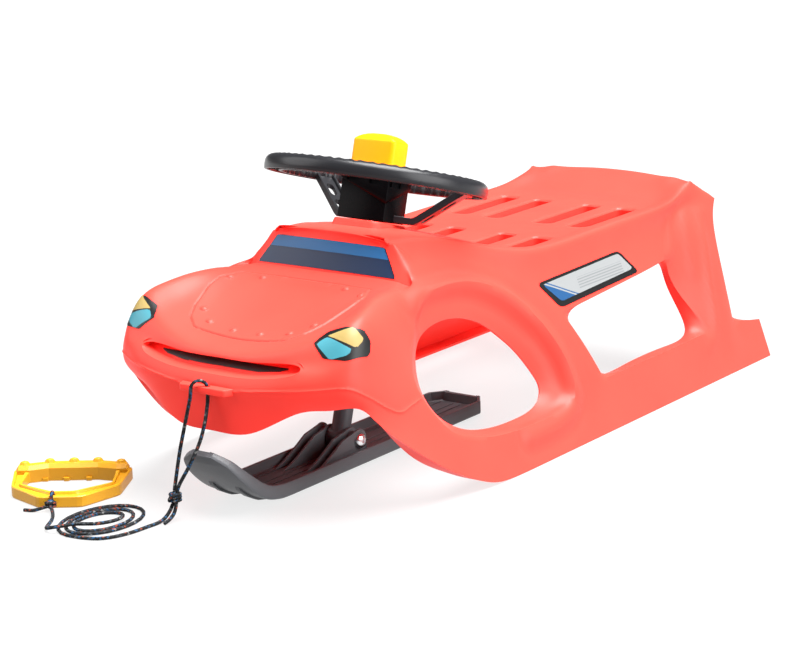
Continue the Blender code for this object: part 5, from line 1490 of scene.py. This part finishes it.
class SLED_OT_ski(bpy.types.Operator):
    """Front ski with its floor strips, keels and double-plate bracket"""

    bl_idname = "sled.ski"
    bl_label = "Ski"

    def execute(self, context):
        stations = [Vector((y, z, w, edge, floor)) for y, z, w, edge, floor in SKI]
        fine = spline(stations[:9], 5) + stations[9:]
        rings = []
        for i, (y, z, w, edge, floor) in enumerate(fine):
            before, after = fine[max(i - 1, 0)], fine[min(i + 1, len(fine) - 1)]
            along = Vector((0, after[0] - before[0], after[1] - before[1])).normalized()
            up = Vector((1, 0, 0)).cross(along)
            section = [(w - 0.0034, 0), (w - 0.0012, 0.0006), (w - 0.0002, 0.0022), (w, 0.0040),
                       (w, edge - 0.0012), (w - 0.0005, edge - 0.0003), (w - 0.0014, edge),
                       (w - 0.0036, edge), (w - 0.0044, edge - 0.0006), (w - 0.0058, floor + 0.0010),
                       (w - 0.0070, floor)]
            section += [(-a, h) for a, h in reversed(section)]
            rings.append([Vector((0, y, z)) + Vector((a, 0, 0)) + up * h for a, h in section])
        bm = carve(stack(rings), [("DIFFERENCE", self.grooves())])
        for part in (self.keels(), self.bracket()):
            pour(bm, part)
        piece("ski_body", bm, material("ski"), "ski", ["ski"], 32.0)
        self.bolt()
        return {"FINISHED"}

    def grooves(self):
        tool = bmesh.new()
        for x in (-0.026, -0.006, 0.006, 0.026):
            corners = [(x - 0.0010, -0.372, 0.0046), (x + 0.0010, -0.372, 0.0046),
                       (x + 0.0010, 0.030, 0.0046), (x - 0.0010, 0.030, 0.0046)]
            pour(tool, prism(corners, (0, 0, 0.01)))
        return tool

    def keels(self):
        made = bmesh.new()
        for x in (-0.020, 0.020):
            profile = ((-0.4490, 0.0330), (-0.4460, 0.0262), (-0.4330, 0.0155), (-0.4140, 0.0058),
                       (-0.3930, 0.0012), (-0.3720, 0.0003), (0.026, 0.0003), (0.032, 0.0045),
                       (-0.372, 0.0050), (-0.393, 0.0062), (-0.414, 0.0115), (-0.433, 0.0218),
                       (-0.446, 0.0312))
            bm = prism([(x - 0.003, y, z) for y, z in profile], (0.006, 0, 0))
            pour(made, bm)
        return made

    def bracket(self):
        pivot = pivot_point()
        arc = []
        for k in range(25):
            t = math.radians(115 - 130 * k / 24)
            arc.append((pivot.y + 0.0145 * math.cos(t), pivot.z + 0.0145 * math.sin(t)))
        front = [(p.x, p.y) for p in spline([(y, z, 0) for y, z in EAR_FRONT], 4)]
        rear = [(p.x, p.y) for p in spline([(y, z, 0) for y, z in EAR_REAR], 3)]
        made = bmesh.new()
        for sign in (-1, 1):
            for near, far in EAR_PLATES:
                bm = prism([(sign * near, y, z) for y, z in front + arc + rear], (sign * (far - near), 0, 0))
                rims = [e for e in bm.edges if abs(e.verts[0].co.x - e.verts[1].co.x) < 1e-6]
                bevel_edges(bm, rims, 0.0006, 2)
                pour(made, bm)
            inner = pivot + Vector((sign * 0.0137, 0, 0))
            outer = pivot + Vector((sign * 0.0312, 0, 0))
            pour(made, rod(inner, outer, 0.0105, 48, bevel=0.0005))
        return made

    def bolt(self):
        """Domed bolt head with a driver recess, nut and washers of the ski's hinge."""
        pivot = pivot_point()
        edge = EAR_PLATES[1][1] + GAP + 0.0006
        turn = Matrix.Translation(pivot) @ Matrix.Rotation(math.radians(90), 4, "Y")
        profile = ((0.0086, edge), (0.0091, edge + 0.0005), (0.0091, edge + 0.0012),
                   (0.0086, edge + 0.0024), (0.0074, edge + 0.0037), (0.0058, edge + 0.0047),
                   (0.0040, edge + 0.0053), (0.0020, edge + 0.0056))
        dome = stack([[(r * math.cos(t), r * math.sin(t), z) for t in around(48)] for r, z in profile])
        recess = rod((0, 0, edge + 0.0030), (0, 0, edge + 0.01), 0.0029, 6)
        bm = carve(dome, [("DIFFERENCE", recess)])
        pour(bm, rod((0, 0, -0.0385), (0, 0, edge + 0.001), BOLT_RADIUS, 32))
        bmesh.ops.transform(bm, matrix=turn, verts=bm.verts)
        piece("pivot_bolt_domed", bm, material("steel"), "steering", ["pivot_bolt"], 30.0)
        for name in ("pivot_nut", "pivot_washer_left", "pivot_washer_right"):
            dress(name, "steel")


class SLED_OT_rope(bpy.types.Operator):
    """Braided rope: bridle, knot, coiled lead and the knot on the handle"""

    bl_idname = "sled.rope"
    bl_label = "Rope"

    def execute(self, context):
        step = sizes().rope_step
        bridle, bridle_path = rope_tube(bridle_line(), step=step)
        bridle = piece("bridle_strands", bridle, material("rope"), "sled", ["rope_bridle"])
        tow, tow_path = rope_tube(tow_line(), step=step)
        tow = piece("tow_line", tow, material("rope"), "sled", ["tow_rope"])
        knot = piece("bridle_knot", self.knot(), material("rope"), "sled", ["rope_knot"])
        loop = piece("handle_loop", self.loop(), material("rope"), "sled", ["handle_knot"])
        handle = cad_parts["tow_handle"]
        for cord, path, far_end, pieces in ((bridle, bridle_path, "knot", [knot]),
                                            (tow, tow_path, "fitting", [loop, handle])):
            length = sum((b - a).length for a, b in zip(path, path[1:]))
        return {"FINISHED"}

    def knot(self):
        """Three wraps round the strands, a crossing turn and the short tail."""
        centre = Vector(KNOT_CENTRE)
        bm = ball(centre, (0.0046, 0.0036, 0.0062))
        for lift, tilt in ((-0.0036, 0.12), (0.0000, 0.16), (0.0036, 0.08)):
            line = ring_line(centre + Vector((0, 0, lift)), (1, 0, tilt), (0, 1, 0), 0.0064, 0.0050, count=36)
            pour(bm, rope_tube(line, 0.0021)[0])
        crossing = ((-0.0052, -0.0048, -0.0050), (-0.0030, -0.0070, -0.0010),
                    (0.0030, -0.0068, 0.0030), (0.0058, -0.0040, 0.0046))
        cross = spline([centre + Vector(p) for p in crossing], 6)
        pour(bm, rope_tube(cross, 0.0019)[0])
        for end, before in (STRAND_UP[:2], STRAND_DOWN[:-3:-1], LEAD[:2]):
            pour_neck(bm, end, before, 0.004, 0.008)
        tail = spline(((-0.0222, -0.5060, 0.0255), (-0.0214, -0.5085, 0.0180), (-0.0212, -0.5130, 0.0100),
                       (-0.0212, -0.5210, 0.0050), (-0.0216, -0.5300, 0.0025)), 6)
        pour(bm, rope_tube(tail)[0])
        return bm

    def loop(self):
        """The loop through the handle's hole, its overhand knot and the free tail."""
        towards = (handle_point(0, 1, 0) - handle_point(0, 0, 0)).normalized()
        sideways = (handle_point(1, 0, 0) - handle_point(0, 0, 0)).normalized()
        centre = handle_point(HANDLE_ROPE_X, 0.0941, 0.0123)
        bm = bmesh.new()
        line = []
        for way, start in ((1, -90), (-1, 90)):
            for k in range(25):
                t = math.radians(start + 180 * k / 24)
                out = towards * (way * 0.0008 + 0.0057 * math.cos(t))
                line.append(centre + out + Vector((0, 0, 0.0057 * math.sin(t))))
        pour(bm, rope_tube(line + line[:1])[0])
        middle = handle_point(HANDLE_ROPE_X, 0.1077, 0.0080)
        pour(bm, ball(middle, (0.0048, 0.0048, 0.0058)))
        for lift, tilt in ((0.0018, 0.30), (-0.0016, 0.10)):
            upwards = towards + Vector((0, 0, tilt))
            line = ring_line(middle + Vector((0, 0, lift)), sideways, upwards, 0.0052, 0.0048, count=32)
            pour(bm, rope_tube(line, 0.0021)[0])
        tail = spline([middle + Vector((0, 0, -0.001)), handle_point(HANDLE_ROPE_X - 0.009, 0.1110, 0.0050),
                       handle_point(HANDLE_ROPE_X - 0.020, 0.1120, 0.0026),
                       handle_point(HANDLE_ROPE_X - 0.032, 0.1090, 0.0024)], 8)
        pour(bm, rope_tube(tail)[0])
        pour_neck(bm, COIL_OUT[-1], COIL_OUT[-2], 0.003, 0.007)
        return bm


class SLED_OT_handle(bpy.types.Operator):
    """Finish of the tow handle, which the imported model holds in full"""

    bl_idname = "sled.handle"
    bl_label = "Tow handle"

    def execute(self, context):
        dress("tow_handle", "handle")
        return {"FINISHED"}


class SLED_OT_stage(bpy.types.Operator):
    """Floor, soft lights and the photograph's camera"""

    bl_idname = "sled.stage"
    bl_label = "Stage"

    def execute(self, context):
        context.scene.view_settings.view_transform = "Standard"
        self.camera(context)
        self.floor()
        self.lights(context)
        return {"FINISHED"}

    def camera(self, context):
        turn, drop, roll = CAMERA_TURN, CAMERA_DROP, CAMERA_ROLL
        forward = Vector((-math.sin(turn) * math.cos(drop), math.cos(turn) * math.cos(drop), -math.sin(drop)))
        level = Vector((math.cos(turn), math.sin(turn), 0))
        above = level.cross(forward)
        right = level * math.cos(roll) + above * math.sin(roll)
        up = above * math.cos(roll) - level * math.sin(roll)
        rows = [[right[i], up[i], -forward[i], CAMERA_PLACE[i]] for i in range(3)] + [[0, 0, 0, 1]]
        data = bpy.data.cameras.new("camera")
        data.lens = CAMERA_LENS
        data.sensor_width = 36
        camera = bpy.data.objects.new("camera", data)
        camera.matrix_world = Matrix(rows)
        context.scene.collection.objects.link(camera)
        context.scene.camera = camera

    def floor(self):
        bm = bmesh.new()
        bmesh.ops.create_grid(bm, x_segments=4, y_segments=4, size=FLOOR_HALF_SIZE)
        floor = loose("floor", bm)
        glow = {"Emission_Color": (1.0, 1.0, 1.0), "Emission_Strength": FLOOR_GLOW}
        paint = Paint("floor_white", Base_Color=FLOOR_COLOUR, **glow)
        paint.set("Roughness", paint.noise(2.0) * 0.05 + 0.5)
        floor.data.materials.append(paint.material)

    def lights(self, context):
        world = bpy.data.worlds.new("studio")
        world.use_nodes = True
        background = world.node_tree.nodes["Background"]
        background.inputs["Color"].default_value = (1, 1, 1, 1)
        background.inputs["Strength"].default_value = WORLD_STRENGTH
        context.scene.world = world
        for name, (direction, power) in SUNS.items():
            data = bpy.data.lights.new(name, "SUN")
            data.angle = SUN_ANGLE
            data.energy = power
            light = bpy.data.objects.new(name, data)
            light.matrix_world = Vector(direction).to_track_quat("Z", "Y").to_matrix().to_4x4()
            context.scene.collection.objects.link(light)


class SLED_PT_panel(bpy.types.Panel):
    """Lists the sled's settings and its steps"""

    bl_label = "Sled"
    bl_idname = "SLED_PT_panel"
    bl_space_type = "VIEW_3D"
    bl_region_type = "UI"
    bl_category = "Sled"

    def draw(self, context):
        for group in (context.scene.sled_colours, context.scene.sled_sizes):
            for name in group.__annotations__:
                self.layout.prop(group, name)
        for step in STEPS:
            self.layout.operator(step.bl_idname)


STEPS = (SLED_OT_stage, SLED_OT_shell, SLED_OT_wheel, SLED_OT_horn, SLED_OT_column, SLED_OT_ski,
         SLED_OT_handle, SLED_OT_rope)
CLASSES = (SledColours, SledSizes, *STEPS, SLED_PT_panel)


def register():
    for cls in CLASSES:
        bpy.utils.register_class(cls)
    bpy.types.Scene.sled_colours = PointerProperty(type=SledColours)
    bpy.types.Scene.sled_sizes = PointerProperty(type=SledSizes)


def unregister():
    del bpy.types.Scene.sled_sizes
    del bpy.types.Scene.sled_colours
    for cls in reversed(CLASSES):
        bpy.utils.unregister_class(cls)


def main():
    register()
    for step in (bpy.ops.sled.stage, bpy.ops.sled.shell, bpy.ops.sled.wheel, bpy.ops.sled.horn,
                 bpy.ops.sled.column, bpy.ops.sled.ski, bpy.ops.sled.handle, bpy.ops.sled.rope):
        step()
    bpy.context.view_layer.update()


if __name__ == "__main__":
    main()
